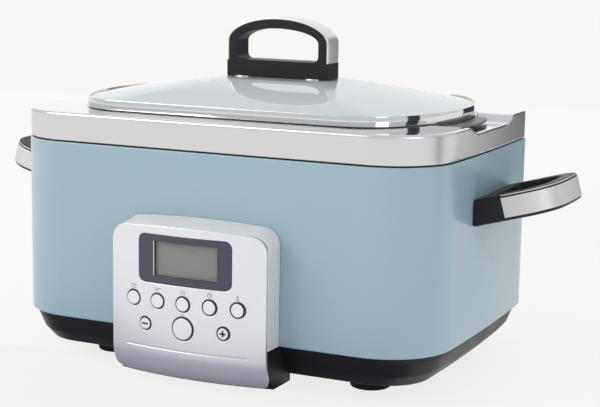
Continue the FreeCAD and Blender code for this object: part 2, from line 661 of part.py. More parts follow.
def panel_housing():
    upper = bezel_block(BEZEL_WALL + 0.1).common(box(-80, 80, -180, PANEL_BACK, BEZEL_BOTTOM - 1, 150))
    lower = box(-PANEL_HALF_WIDTH, PANEL_HALF_WIDTH, -175, -121, FACE_BOTTOM - 0.5, BEZEL_BOTTOM - 0.1)
    lower = lower.cut(box(-80, 80, PANEL_BACK, -100, SHELL_BOTTOM - 0.1, 60))
    shape = upper.fuse(lower).common(behind_face(FACE_THICKNESS + PANEL_GAP))
    wall = PANEL_WALL
    inner_upper = bezel_block(BEZEL_WALL + 0.1 + wall).common(
        box(-80, 80, -180, PANEL_BACK - wall, BEZEL_BOTTOM - 10, 150))
    inner_lower = box(-PANEL_HALF_WIDTH + wall, PANEL_HALF_WIDTH - wall, -175, -121 - wall,
                      FACE_BOTTOM + wall, BEZEL_BOTTOM - wall)
    shape = cut(shape, [inner_upper, inner_lower, base_outer()])
    bosses = [rod_y(sx * PANEL_SCREW_X, z, -151, PANEL_BACK, 4.0) for sx in (-1, 1) for z in PANEL_SCREW_Z]
    shape = fuse([shape] + bosses)
    cuts = [rod_y(sx * PANEL_SCREW_X, z, PANEL_BORE_END, -130, 1.6)
            for sx in (-1, 1) for z in PANEL_SCREW_Z]
    cuts.append(ribbon_hole(-150, -135))
    return cut(shape, cuts)


def window_block(rim, corner_r):
    x0, x1, z0, z1 = WINDOW
    block = box(x0 + rim, x1 - rim, -180, -150, z0 + rim, z1 - rim)
    return rounded(block, corner_r, lambda p, e: along_y(e))


def panel_face():
    outline = panel_block(PANEL_HALF_WIDTH, FACE_TOP, FACE_BOTTOM, FACE_CORNER_R, -140, V(0, -50, 0))
    face = face_zone(0, FACE_THICKNESS).common(outline)
    x0, x1, z0, z1 = GROOVE
    groove = face_zone(-1, 0.6).common(box(x0, x1, -180, -150, z0, z1))
    holes = [rod_y(x, z, -180, -150, r) for x, z, r in BUTTONS.values()]
    return cut(face, [window_block(0, WINDOW_CORNER_R), groove] + holes)


def display_window():
    return face_zone(0.0, FACE_THICKNESS - 0.4).common(window_block(0.2, WINDOW_CORNER_R - 0.2))


def lcd_module():
    x0, x1, z0, z1 = DISPLAY
    glass = box(x0 - 1, x1 + 1, -169.5, -166.6, z0 - 1, z1 + 1)
    return glass.fuse(box(x0 - 4, x1 + 4, -166.6, BOARD_FRONT, z0 - 4, z1 + 4))


def control_pcb():
    board = box(-60, 60, BOARD_FRONT, BOARD_FRONT + BOARD, 44, 124)
    return cut(board, [rod_y(sx * PANEL_SCREW_X, z, -160, -150, 4.6)
                       for sx in (-1, 1) for z in PANEL_SCREW_Z])


def tact_switches():
    return [box(x - 3, x + 3, SWITCH_TIP + 0.6, BOARD_FRONT, z - 3, z + 3).fuse(
        rod_y(x, z, SWITCH_TIP, BOARD_FRONT, 1.6)) for x, z, _ in BUTTONS.values()]


def panel_screws():
    model = screw(PANEL_SCREW_SEAT - PANEL_BORE_END - 0.3, 1.6, 3.4, 2.2)
    return [placed(model, V(sx * PANEL_SCREW_X, PANEL_SCREW_SEAT, z), V(0, -1, 0))
            for sx in (-1, 1) for z in PANEL_SCREW_Z]


def panel_ribbon():
    """Flat cable from the display board through the shell, down and back to the power board."""
    t = 0.8
    board_back, board_top = BOARD_FRONT + BOARD, POWER_BOARD_Z + BOARD
    drop_y, end_y, high, low = -123.0, -44.0, 56.0, 30.0
    path = [(board_back, high), (drop_y, high), (drop_y, low), (end_y, low), (end_y, board_top)]
    back = [(end_y - t, board_top), (end_y - t, low - t), (drop_y - t, low - t), (drop_y - t, high - t),
            (board_back, high - t)]
    return extruded([V(-8, y, z) for y, z in path + back], V(16, 0, 0))


def button(x, z, hole_r):
    """Cap, retaining lip behind the face, and the stem that presses the switch."""
    lip_r = hole_r + BUTTON_LIP
    lip_front = face_y(abs(x) + lip_r, FACE_THICKNESS) + PANEL_GAP
    cap = rod_y(x, z, face_y(x) + 0.5, lip_front + 0.5, hole_r - BUTTON_GAP)
    cap = rounded(cap, 0.6, lambda p, e: p.y < face_y(x) + 0.5 + 1e-6 and len(e.Vertexes) == 1)
    return fuse([cap, rod_y(x, z, lip_front, lip_front + 1.5, lip_r), rod_y(x, z, lip_front, STEM_END, 2.5)])


# ---- Cooking pot --------------------------------------------------------------------------------
def cooking_pot():
    flange_bottom = POT_FLANGE_TOP - POT_WALL
    heel, bevel, wall = 8.0, 2.3, POT_WALL
    outer = LID.stack([(POT_BOTTOM_INSET + heel, POT_BOTTOM), (POT_BOTTOM_INSET + bevel, POT_BOTTOM + bevel),
                       (POT_BOTTOM_INSET, POT_BOTTOM + heel), (POT_TOP_INSET, flange_bottom),
                       (POT_TOP_INSET, POT_FLANGE_TOP)])
    inner = LID.stack([(POT_BOTTOM_INSET + heel + wall, POT_BOTTOM + 3),
                       (POT_BOTTOM_INSET + bevel + wall, POT_BOTTOM + 5),
                       (POT_BOTTOM_INSET + wall, POT_BOTTOM + 10),
                       (POT_TOP_INSET + wall, flange_bottom), (POT_TOP_INSET + wall, POT_FLANGE_TOP + 1)])
    flange = LID.ring(2.0, POT_TOP_INSET + 1, flange_bottom, POT_FLANGE_TOP)
    ear = post(POT_EAR_REACH - POT_EAR_R, 0, flange_bottom - 1.7, flange_bottom + 0.6, POT_EAR_R)
    ear = ear.common(box(LID_HALF_LENGTH - POT_TOP_INSET + 5, 200, -POT_EAR_HALF, POT_EAR_HALF, 200, 220))
    return fuse([outer, flange, ear, ear.mirror(V(0, 0, 0), X_AXIS)]).cut(inner)


# ---- Lid ----------------------------------------------------------------------------------------
def lid_rim():
    band = LID.stack([(0.6, RIM_BOTTOM), (0, RIM_BOTTOM + 0.8), (0, RIM_TOP - 0.8), (0.6, RIM_TOP)])
    channel = LID.stack([(1.0, RIM_BOTTOM + 1.0), (1.0, RIM_TOP - 1.0)])
    return cut(band, [channel, LID.stack([(RIM_SKIRT, LEDGE), (RIM_SKIRT, RIM_BOTTOM + 2)]),
                      LID.stack([(RIM_LIP, RIM_TOP - 2), (RIM_LIP, RIM_TOP + 2)])])


def dome(rise_from, lower_by, edge_inset):
    """Domed plate: the lid outline shrinks towards the middle as it rises to a flat crown."""
    rise = CROWN - rise_from
    edge = lid_outline(edge_inset)
    wires = []
    for scale in (1.0, 0.93, 0.82, 0.66, 0.48, FLAT_CROWN):
        fall = ((scale - FLAT_CROWN) / (1 - FLAT_CROWN)) ** DOME_POWER
        wires.append(edge.scaled(scale).wire(0, rise_from + rise * (1 - fall) - lower_by))
    return wires


def lid_outline(inset):
    return Outline(LID_HALF_LENGTH - inset, LID_HALF_DEPTH - inset, LID_CORNER_R - inset, LID_END_BOW,
                   LID_SIDE_BOW)


def lid_glass():
    edge = lid_outline(1.3).stack([(0, GLASS_EDGE_BOTTOM), (0, GLASS_EDGE_TOP)])
    top = Part.makeLoft(dome(GLASS_EDGE_TOP, 0, 4.5), True, False)
    under = Part.makeLoft(dome(GLASS_EDGE_TOP, GLASS, 9.0), True, False)
    shape = edge.fuse(top).cut(under)
    return cut(shape, [post(sx * LID_SCREW_X, 0, 200, 260, 3.0) for sx in (-1, 1)])


def arch(half_width, top, bottom, depth):
    """Solid with straight legs and a half-elliptical top, centred on the handle."""
    rise = top - LID_HANDLE_SHOULDER
    left, right = V(-half_width, 0, LID_HANDLE_SHOULDER), V(half_width, 0, LID_HANDLE_SHOULDER)
    ellipse = Part.Ellipse(V(half_width, 0, LID_HANDLE_SHOULDER), V(0, 0, top), V(0, 0, LID_HANDLE_SHOULDER))
    if rise > half_width:
        raise ValueError("arch is taller than it is wide")
    crown = Part.ArcOfEllipse(ellipse, 0, pi).toShape()
    legs = [Part.LineSegment(left, V(-half_width, 0, bottom)).toShape(),
            Part.LineSegment(V(-half_width, 0, bottom), V(half_width, 0, bottom)).toShape(),
            Part.LineSegment(V(half_width, 0, bottom), right).toShape()]
    solid = Part.Face(Part.Wire([crown] + legs)).extrude(V(0, depth, 0))
    solid.translate(V(0, -depth / 2, 0))
    return solid


def lid_handle():
    leg = LID_HANDLE_HALF - STRAP
    grip = arch(leg, LID_HANDLE_TOP - STRAP, LID_HANDLE_STEP - 1, LID_HANDLE_DEPTH)
    foot_bar = box(-LID_HANDLE_HALF, LID_HANDLE_HALF, -LID_HANDLE_DEPTH / 2, LID_HANDLE_DEPTH / 2,
                   CROWN, LID_HANDLE_STEP)
    window = arch(leg - LID_HANDLE_BAR, LID_HANDLE_TOP - STRAP - LID_HANDLE_BAR, LID_HANDLE_STEP + 0.6,
                  LID_HANDLE_DEPTH + 4)
    window = rounded(window, 5.0, lambda p, e: along_y(e) and p.z < LID_HANDLE_STEP + 1)
    handle = grip.fuse(foot_bar).cut(window)
    return cut(handle, lid_screw_shanks())


def lid_handle_strap():
    outer = arch(LID_HANDLE_HALF, LID_HANDLE_TOP, LID_HANDLE_STEP + 0.1, LID_HANDLE_DEPTH - 1.0)
    inner = arch(LID_HANDLE_HALF - STRAP, LID_HANDLE_TOP - STRAP, LID_HANDLE_STEP - 3,
                 LID_HANDLE_DEPTH + 2)
    return outer.cut(inner)


def lid_screw_shanks():
    return [post(sx * LID_SCREW_X, 0, CROWN - GLASS - 1, CROWN + 9, 2.0) for sx in (-1, 1)]


def lid_handle_screws():
    under = CROWN - GLASS - 1.2
    model = screw(CROWN + 9 - under, 2.0, 4.4, 2.4)
    return [placed(model, V(sx * LID_SCREW_X, 0, under), Z_AXIS) for sx in (-1, 1)]


def lid_screw_washers():
    under = CROWN - GLASS - 1.2
    return [post(sx * LID_SCREW_X, 0, under, under + 1.2, 8.0).cut(
        post(sx * LID_SCREW_X, 0, under - 1, under + 3, 2.0)) for sx in (-1, 1)]


# ---- Save ---------------------------------------------------------------------------------------
def mirrored(shape):
    return shape.mirror(V(0, 0, 0), X_AXIS)


def build():
    element = element_solid()
    handle, plate = side_handle_right(), handle_plate_right()
    nodes = {
        "outer_shell": outer_shell(), "shell_gasket": shell_gasket(), "collar": collar(),
        "inner_liner": inner_liner(), "heating_plate": heating_plate(element),
        "heating_element": element, "heater_terminals": heater_terminals(),
        "sensor_housing": sensor_housing(), "sensor_spring": sensor_spring(),
        "temperature_sensor": temperature_sensor(), "thermal_fuse": thermal_fuse(),
        "heat_shield": heat_shield(), "base_tray": base_tray(), "cord_gland": cord_gland(),
        "power_pcb": power_pcb(), "power_board_parts": power_board_parts(),
        "heater_leads": heater_leads(), "panel_ribbon": panel_ribbon(),
        "side_handle_right": handle, "side_handle_left": mirrored(handle),
        "handle_plate_right": plate, "handle_plate_left": mirrored(plate),
        "handle_screws": handle_screws(), "panel_housing": panel_housing(),
        "panel_bezel": panel_bezel(), "panel_face": panel_face(), "display_window": display_window(),
        "lcd_module": lcd_module(), "control_pcb": control_pcb(), "tact_switches": tact_switches(),
        "panel_screws": panel_screws(), "cooking_pot": cooking_pot(), "lid_rim": lid_rim(),
        "lid_glass": lid_glass(), "lid_handle": lid_handle(), "lid_handle_strap": lid_handle_strap(),
        "lid_handle_screws": lid_handle_screws(), "lid_screw_washers": lid_screw_washers(),
    }
    foot_screw = screw(18.0, 2.0, 4.6, 2.6)
    base_screw = screw(52.0, 1.9, 3.9, 2.6)
    nodes["foot_screws"] = [placed(foot_screw, V(sx * FOOT_X, sy * FOOT_Y, 6), Z_AXIS) for sx, sy in CORNERS]
    nodes["base_screws"] = [placed(base_screw, V(sx * BASE_SCREW_X, sy * BASE_SCREW_Y, 18), Z_AXIS)
                            for sx, sy in CORNERS]
    for sx, sy in CORNERS:
        name = "foot_%s_%s" % ("front" if sy < 0 else "rear", "left" if sx < 0 else "right")
        nodes[name] = foot(sx, sy)
    for name, (x, z, hole_r) in BUTTONS.items():
        nodes[name] = button(x, z, hole_r)
    return nodes


def save(nodes):
    os.makedirs("parts", exist_ok=True)
    for name, shape in nodes.items():
        if isinstance(shape, list):
            shape = Part.makeCompound(shape)
        shape = shape.copy()
        shape.translate(V(0, BODY_SHIFT, 0))
        flaws = [s for s in shape.Solids if not s.isValid()]
        print("%-22s solids %d  volume %.1f cm3%s" % (
            name, len(shape.Solids), shape.Volume / 1000, "  INVALID" if flaws else ""))
        shape.exportStep("parts/%s.step" % name)


save(build())
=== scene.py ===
"""Looks of a six-quart slow cooker: painted housing, steel collar, glass lid, control panel.

Metres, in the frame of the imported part: +X along the length, the control panel faces -Y, +Z up.
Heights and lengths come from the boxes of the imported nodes; the rest are named below.
"""
import json
from math import atan2, ceil, cos, pi, radians, sin, sqrt, tan

import bmesh
import bpy
from mathutils import Matrix, Vector
from mathutils.geometry import delaunay_2d_cdt


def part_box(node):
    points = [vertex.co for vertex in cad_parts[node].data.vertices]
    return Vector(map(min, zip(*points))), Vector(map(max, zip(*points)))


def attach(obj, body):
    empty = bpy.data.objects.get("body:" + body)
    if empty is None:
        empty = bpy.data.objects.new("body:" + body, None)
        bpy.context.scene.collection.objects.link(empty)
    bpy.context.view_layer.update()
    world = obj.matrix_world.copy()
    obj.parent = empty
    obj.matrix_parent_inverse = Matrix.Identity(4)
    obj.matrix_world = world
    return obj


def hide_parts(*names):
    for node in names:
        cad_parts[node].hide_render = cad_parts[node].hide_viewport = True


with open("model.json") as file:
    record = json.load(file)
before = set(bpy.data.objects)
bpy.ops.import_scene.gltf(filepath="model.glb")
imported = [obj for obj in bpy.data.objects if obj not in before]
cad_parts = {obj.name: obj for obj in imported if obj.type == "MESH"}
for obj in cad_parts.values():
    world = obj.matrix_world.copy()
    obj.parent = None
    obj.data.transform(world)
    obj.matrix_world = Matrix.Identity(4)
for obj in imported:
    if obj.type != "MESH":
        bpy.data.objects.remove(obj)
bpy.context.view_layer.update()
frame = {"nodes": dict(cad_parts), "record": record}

MM = 0.001
END_STEPS, CORNER_STEPS, SIDE_STEPS = 40, 20, 24      # points in a quarter of an outline
SHARP_ANGLE = 35.0               # degrees; a sharper edge is not shaded smooth


# ---- Flat figures -------------------------------------------------------------------------------
class Outline:
    """Rounded rectangle whose sides are shallow arcs, all tangent to the corner arcs."""

    def __init__(self, half_x, half_y, corner_r, bow_x, bow_y):
        self.half_x, self.half_y, self.corner_r = half_x, half_y, corner_r
        self.end_r = (half_y ** 2 + bow_x ** 2) / (2 * bow_x)
        self.side_r = (half_x ** 2 + bow_y ** 2) / (2 * bow_y)
        self.end_x, self.side_y = half_x - self.end_r, half_y - self.side_r
        reach_a, reach_b = self.end_r - corner_r, self.side_r - corner_r
        line_x, line_y = -self.end_x, self.side_y
        span = sqrt(line_x ** 2 + line_y ** 2)
        along = (reach_a ** 2 - reach_b ** 2 + span ** 2) / (2 * span)
        off = sqrt(reach_a ** 2 - along ** 2)
        self.corner = (self.end_x + (line_x * along - line_y * off) / span,
                       (line_y * along + line_x * off) / span)

    def quarter(self, inset):
        """Points from the middle of the +X end to the middle of the +Y side."""
        x, y = self.corner
        leave_end, reach_side = atan2(y, x - self.end_x), atan2(y - self.side_y, x)
        arcs = [(self.end_x, 0.0, self.end_r, 0.0, leave_end, END_STEPS),
                (x, y, self.corner_r, leave_end, reach_side, CORNER_STEPS),
                (0.0, self.side_y, self.side_r, reach_side, pi / 2, SIDE_STEPS)]
        points = []
        for cx, cy, r, start, stop, steps in arcs:
            angles = [start + (stop - start) * k / steps for k in range(steps)]
            points += [(cx + (r - inset) * cos(a), cy + (r - inset) * sin(a)) for a in angles]
        return points + [(0.0, self.half_y - inset)]

    def loop(self, inset):
        q = self.quarter(inset)
        return (q + [(-x, y) for x, y in q[-2::-1]] + [(-x, -y) for x, y in q[1:]]
                + [(x, -y) for x, y in q[-2:0:-1]])

    def half(self, inset, least_x):
        """Open path round the +X half, from -Y to +Y, as far back as least_x."""
        q = self.quarter(inset)
        path = [(x, -y) for x, y in q[:0:-1]] + q
        path = [p for p in path if p[0] > least_x + 4 * MM]
        return [(least_x, path[0][1])] + path + [(least_x, path[-1][1])]


def rounded(points, closed=True, steps=5, hold=0.3):
    """Corners (x, y, radius) turned into arcs, with a point held back from each end of an arc."""
    path = []
    for i, (x, y, r) in enumerate(points):
        at_end = not closed and i in (0, len(points) - 1)
        if r == 0 or at_end:
            path.append((x, y))
            continue
        before = Vector(points[i - 1][:2]) - Vector((x, y))
        after = Vector(points[(i + 1) % len(points)][:2]) - Vector((x, y))
        before.normalize()
        after.normalize()
        half = before.angle(after) / 2
        reach = r / tan(half)
        middle = (before + after).normalized() * (r / sin(half))
        start, stop = before * reach - middle, after * reach - middle
        first, turn = atan2(start.y, start.x), atan2(stop.y, stop.x) - atan2(start.y, start.x)
        turn = (turn + pi) % (2 * pi) - pi
        arc = [(middle.x + r * cos(first + turn * k / steps), middle.y + r * sin(first + turn * k / steps))
               for k in range(steps + 1)]
        if hold:
            held = [before * reach * (1 + hold), after * reach * (1 + hold)]
            arc = [(held[0].x, held[0].y)] + arc + [(held[1].x, held[1].y)]
        path += [(x + dx, y + dy) for dx, dy in arc]
    return path


def circle(x, y, r, steps=40):
    """Clockwise, as holes are."""
    return [(x + r * cos(-2 * pi * k / steps), y + r * sin(-2 * pi * k / steps)) for k in range(steps)]


def offset(loop, distance):
    """Closed loop moved sideways, to the left of its direction of travel."""
    moved = []
    for (ax, ay), (bx, by), (cx, cy) in zip(loop[-1:] + loop[:-1], loop, loop[1:] + loop[:1]):
        before, after = Vector((ay - by, bx - ax)).normalized(), Vector((by - cy, cx - bx)).normalized()
        mitre = (before + after).normalized()
        reach = distance / max(mitre.dot(before), 0.5)
        moved.append((bx + mitre.x * reach, by + mitre.y * reach))
    return moved


def divided(loop, step=3.5 * MM):
    """Closed loop with extra points on its long edges, so that it can follow a bowed surface."""
    points = []
    for (ax, ay), (bx, by) in zip(loop, loop[1:] + loop[:1]):
        count = max(ceil(sqrt((bx - ax) ** 2 + (by - ay) ** 2) / step), 1)
        points += [(ax + (bx - ax) * k / count, ay + (by - ay) * k / count) for k in range(count)]
    return points


def contains(loop, x, y):
    inside = False
    for (ax, ay), (bx, by) in zip(loop, loop[1:] + loop[:1]):
        if (ay > y) != (by > y) and x < ax + (bx - ax) * (y - ay) / (by - ay):
            inside = not inside
    return inside


LEAST_AREA = 1e-10               # twice the area below which a triangle is dropped, square metres


def figure(loops, inner=()):
    """Corners and triangles that fill the first loop, less the others, with extra inner corners."""
    points = [p for loop in loops for p in loop] + list(inner)
    edges, start = [], 0
    for loop in loops:
        edges += [(start + i, start + (i + 1) % len(loop)) for i in range(len(loop))]
        start += len(loop)
    corners, _, faces, origin, _, _ = delaunay_2d_cdt([Vector(p) for p in points], edges, [], 0, 1e-7)
    kept = []
    for face in faces:
        x, y = sum((corners[i] for i in face), Vector((0, 0))) / len(face)
        side_a, side_b = corners[face[1]] - corners[face[0]], corners[face[2]] - corners[face[0]]
        if abs(side_a.cross(side_b)) < LEAST_AREA:
            continue
        if contains(loops[0], x, y) and not any(contains(hole, x, y) for hole in loops[1:]):
            kept.append([origin[i][0] for i in face])
    return points, kept


def grid(loops, step_x, step_y, margin):
    """Points on a square grid inside the first loop and clear of all of them."""
    outer = offset(loops[0], margin)
    holes = [offset(loop, margin) for loop in loops[1:]]
    xs, ys = [p[0] for p in outer], [p[1] for p in outer]
    points = []
    for i in range(ceil(min(xs) / step_x), ceil(max(xs) / step_x)):
        for k in range(ceil(min(ys) / step_y), ceil(max(ys) / step_y)):
            x, y = i * step_x, k * step_y
            if contains(outer, x, y) and not any(contains(hole, x, y) for hole in holes):
                points.append((x, y))
    return points


# ---- Solids -------------------------------------------------------------------------------------
def loft(rings, closed=True, wrap=False, cap=False):
    """Faces between successive rings of points; wrap also joins the last ring to the first."""
    bm = bmesh.new()
    rows = [[bm.verts.new(p) for p in ring] for ring in rings]
    count = len(rows[0])
    for a, b in list(zip(rows, rows[1:])) + ([(rows[-1], rows[0])] if wrap else []):
        for i in range(count if closed else count - 1):
            j = (i + 1) % count
            bm.faces.new((a[i], a[j], b[j], b[i]))
    if cap and closed:
        bm.faces.new(rows[0])
        bm.faces.new(rows[-1])
    elif cap:
        bm.faces.new([row[0] for row in rows])
        bm.faces.new([row[-1] for row in rows])
    return bm


def lifted(loop, z):
    """Loop drawn round the body's axis, at a height."""
    return [(x, y + CENTRE_Y, z) for x, y in loop]


def swept(outline, profile, wrap=True, cap=False):
    """Solid whose section is a profile of (inset, height)."""
    return loft([lifted(outline.loop(inset), z) for inset, z in profile], wrap=wrap, cap=cap)


def turned(profile, centre, along, steps=48):
    """Lathe work about a Y or Z axis through centre; the profile is (radius, place along the axis)."""
    rings = []
    for r, h in profile:
        circle_points = [(r * cos(2 * pi * k / steps), r * sin(2 * pi * k / steps)) for k in range(steps)]
        if along == "Y":
            rings.append([(centre[0] + a, h, centre[1] + b) for a, b in circle_points])
        else:
            rings.append([(centre[0] + a, centre[1] + b, h) for a, b in circle_points])
    return loft(rings, cap=True)


def rounding(edge):
    """Steps (inset, depth) over a rounded edge, from the flat face down to the wall."""
    angles = [radians(a) for a in (0, 22.5, 45, 67.5, 90)]
    arc = [(edge * (1 - sin(a)), edge * (1 - cos(a))) for a in angles]
    return [(edge * 1.4, 0.0)] + arc + [(0.0, edge * 1.4)]


def plate(loops, place, thickness, front=0.0, back=0.0, inner=()):
    """Solid sheet under a surface. Loops are the outline and its holes, the holes clockwise, and
    place(x, y, depth) is the point at a depth below the surface. Front and back edges are rounded."""
    steps = rounding(front) if front else [(0.0, 0.0)]
    steps = steps + [(i, thickness - d) for i, d in reversed(rounding(back) if back else [(0.0, 0.0)])]
    bm = bmesh.new()
    rows = []
    for inset, depth in steps:
        moved = [offset(loop, inset) if inset else loop for loop in loops]
        rows.append([[bm.verts.new(place(x, y, depth)) for x, y in loop] for loop in moved])
    for upper, lower in zip(rows, rows[1:]):
        for a, b in zip(upper, lower):
            for i in range(len(a)):
                j = (i + 1) % len(a)
                bm.faces.new((a[i], a[j], b[j], b[i]))
    for (inset, depth), row, extra in ((steps[0], rows[0], inner), (steps[-1], rows[-1], ())):
        moved = [offset(loop, inset) if inset else loop for loop in loops]
        points, triangles = figure(moved, extra)
        verts = [v for ring in row for v in ring]
        verts += [bm.verts.new(place(x, y, depth)) for x, y in points[len(verts):]]
        for triangle in triangles:
            bm.faces.new([verts[i] for i in triangle])
    return bm


def joined(parts):
    """One bmesh from several."""
    whole = bmesh.new()
    for bm in parts:
        mesh = bpy.data.meshes.new("part")
        bmesh.ops.recalc_face_normals(bm, faces=bm.faces)
        bm.to_mesh(mesh)
        bm.free()
        whole.from_mesh(mesh)
        bpy.data.meshes.remove(mesh)
    return whole


def make(name, bm, finish, body="housing", nodes=()):
    """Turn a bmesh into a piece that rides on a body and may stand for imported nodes."""
    bmesh.ops.recalc_face_normals(bm, faces=bm.faces)
    mesh = bpy.data.meshes.new(name)
    bm.to_mesh(mesh)
    bm.free()
    piece = bpy.data.objects.new(name, mesh)
    bpy.context.scene.collection.objects.link(piece)
    mesh.materials.append(FINISH[finish])
    soften(mesh)
    weigh(piece)
    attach(piece, body)
    if nodes:
        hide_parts(*nodes)
    return piece


def soften(mesh):
    mesh.shade_smooth()
    mesh.set_sharp_from_angle(angle=radians(SHARP_ANGLE))


def weigh(piece):
    """Corner normals that follow the larger faces, so that flat faces look flat up to their edges."""
    modifier = piece.modifiers.new("weigh", "WEIGHTED_NORMAL")
    modifier.keep_sharp = True
    bake(piece)


def bake(piece):
    """Apply the piece's modifiers."""
    bpy.context.view_layer.update()
    result = bpy.data.meshes.new_from_object(piece.evaluated_get(bpy.context.evaluated_depsgraph_get()))
    piece.modifiers.clear()
    piece.data = result


def cut(piece, tool):
    """Take a bmesh out of a piece."""
    bmesh.ops.recalc_face_normals(tool, faces=tool.faces)
    mesh = bpy.data.meshes.new("tool")
    tool.to_mesh(mesh)
    tool.free()
    cutter = bpy.data.objects.new("tool", mesh)
    bpy.context.scene.collection.objects.link(cutter)
    modifier = piece.modifiers.new("cut", "BOOLEAN")
    modifier.operation, modifier.solver, modifier.object = "DIFFERENCE", "EXACT", cutter
    bake(piece)
    soften(piece.data)
    weigh(piece)
    bpy.data.objects.remove(cutter)


# ---- Finishes -----------------------------------------------------------------------------------
class Finish:
    """Principled material with detail laid over it in the object's own space."""

    def __init__(self, name, colour, roughness, metallic=0.0, **inputs):
        self.material = bpy.data.materials.new(name)
        self.material.use_nodes = True
        self.nodes, self.links = self.material.node_tree.nodes, self.material.node_tree.links
        self.shader = self.nodes["Principled BSDF"]
        self.shader.inputs["Base Color"].default_value = (*colour, 1.0)
        self.shader.inputs["Roughness"].default_value = roughness
        self.shader.inputs["Metallic"].default_value = metallic
        for socket, value in inputs.items():
            self.shader.inputs[socket.replace("_", " ")].default_value = value
        self.place = self.nodes.new("ShaderNodeTexCoord").outputs["Object"]

    def noise(self, scale, stretch=(1, 1, 1), detail=3.0):
        mapping = self.nodes.new("ShaderNodeMapping")
        mapping.inputs["Scale"].default_value = stretch
        self.links.new(self.place, mapping.inputs["Vector"])
        node = self.nodes.new("ShaderNodeTexNoise")
        node.inputs["Scale"].default_value = scale
        node.inputs["Detail"].default_value = detail
        self.links.new(mapping.outputs["Vector"], node.inputs["Vector"])
        return node.outputs["Fac"]

    def tint(self, noise, dark, light):
        """Colour that wanders between two shades."""
        ramp = self.nodes.new("ShaderNodeValToRGB")
        ramp.color_ramp.elements[0].position, ramp.color_ramp.elements[1].position = 0.3, 0.7
        ramp.color_ramp.elements[0].color = (*dark, 1.0)
        ramp.color_ramp.elements[1].color = (*light, 1.0)
        self.links.new(noise, ramp.inputs["Fac"])
        self.links.new(ramp.outputs["Color"], self.shader.inputs["Base Color"])
        return self

    def gloss(self, noise, low, high):
        """Roughness that wanders between two values."""
        span = self.nodes.new("ShaderNodeMapRange")
        for socket, value in (("From Min", 0.3), ("From Max", 0.7), ("To Min", low), ("To Max", high)):
            span.inputs[socket].default_value = value
        self.links.new(noise, span.inputs["Value"])
        self.links.new(span.outputs["Result"], self.shader.inputs["Roughness"])
        return self

    def relief(self, noise, height):
        """Fine bumps of a height in metres."""
        bump = self.nodes.new("ShaderNodeBump")
        bump.inputs["Distance"].default_value = height
        bump.inputs["Strength"].default_value = 1.0
        self.links.new(noise, bump.inputs["Height"])
        self.links.new(bump.outputs["Normal"], self.shader.inputs["Normal"])
        return self


def shade(colour, factor):
    return tuple(c * factor for c in colour)


def metal(name, colour, roughness, spread=0.08, scale=350.0, metallic=1.0):
    """Bare or plated metal with faint handling marks."""
    finish = Finish(name, colour, roughness, metallic)
    marks = finish.noise(scale, detail=6.0)
    finish.gloss(marks, roughness * (1 - spread), roughness * (1 + spread))
    return finish.tint(finish.noise(scale * 0.3), shade(colour, 0.985), colour)


def plastic(name, colour, roughness, grain=900.0, height=0.00002, specular=0.5):
    """Moulded plastic with a fine spark-eroded grain."""
    finish = Finish(name, colour, roughness, Specular_IOR_Level=specular)
    finish.relief(finish.noise(grain, detail=2.0), height)
    finish.gloss(finish.noise(40.0), roughness * 0.9, roughness * 1.15)
    return finish.tint(finish.noise(25.0), shade(colour, 0.92), shade(colour, 1.08))


def brushed(name, colour, roughness, stretch, height=0.0000002):
    """Steel with fine parallel scratches, long where stretch is small."""
    finish = Finish(name, colour, roughness, 1.0, Anisotropic=0.6)
    lines = finish.noise(1.0, stretch, detail=5.0)
    finish.relief(lines, height)
    finish.gloss(lines, roughness * 0.96, roughness * 1.04)
    return finish.tint(finish.noise(1.0, stretch, detail=2.0), shade(colour, 0.99), colour)


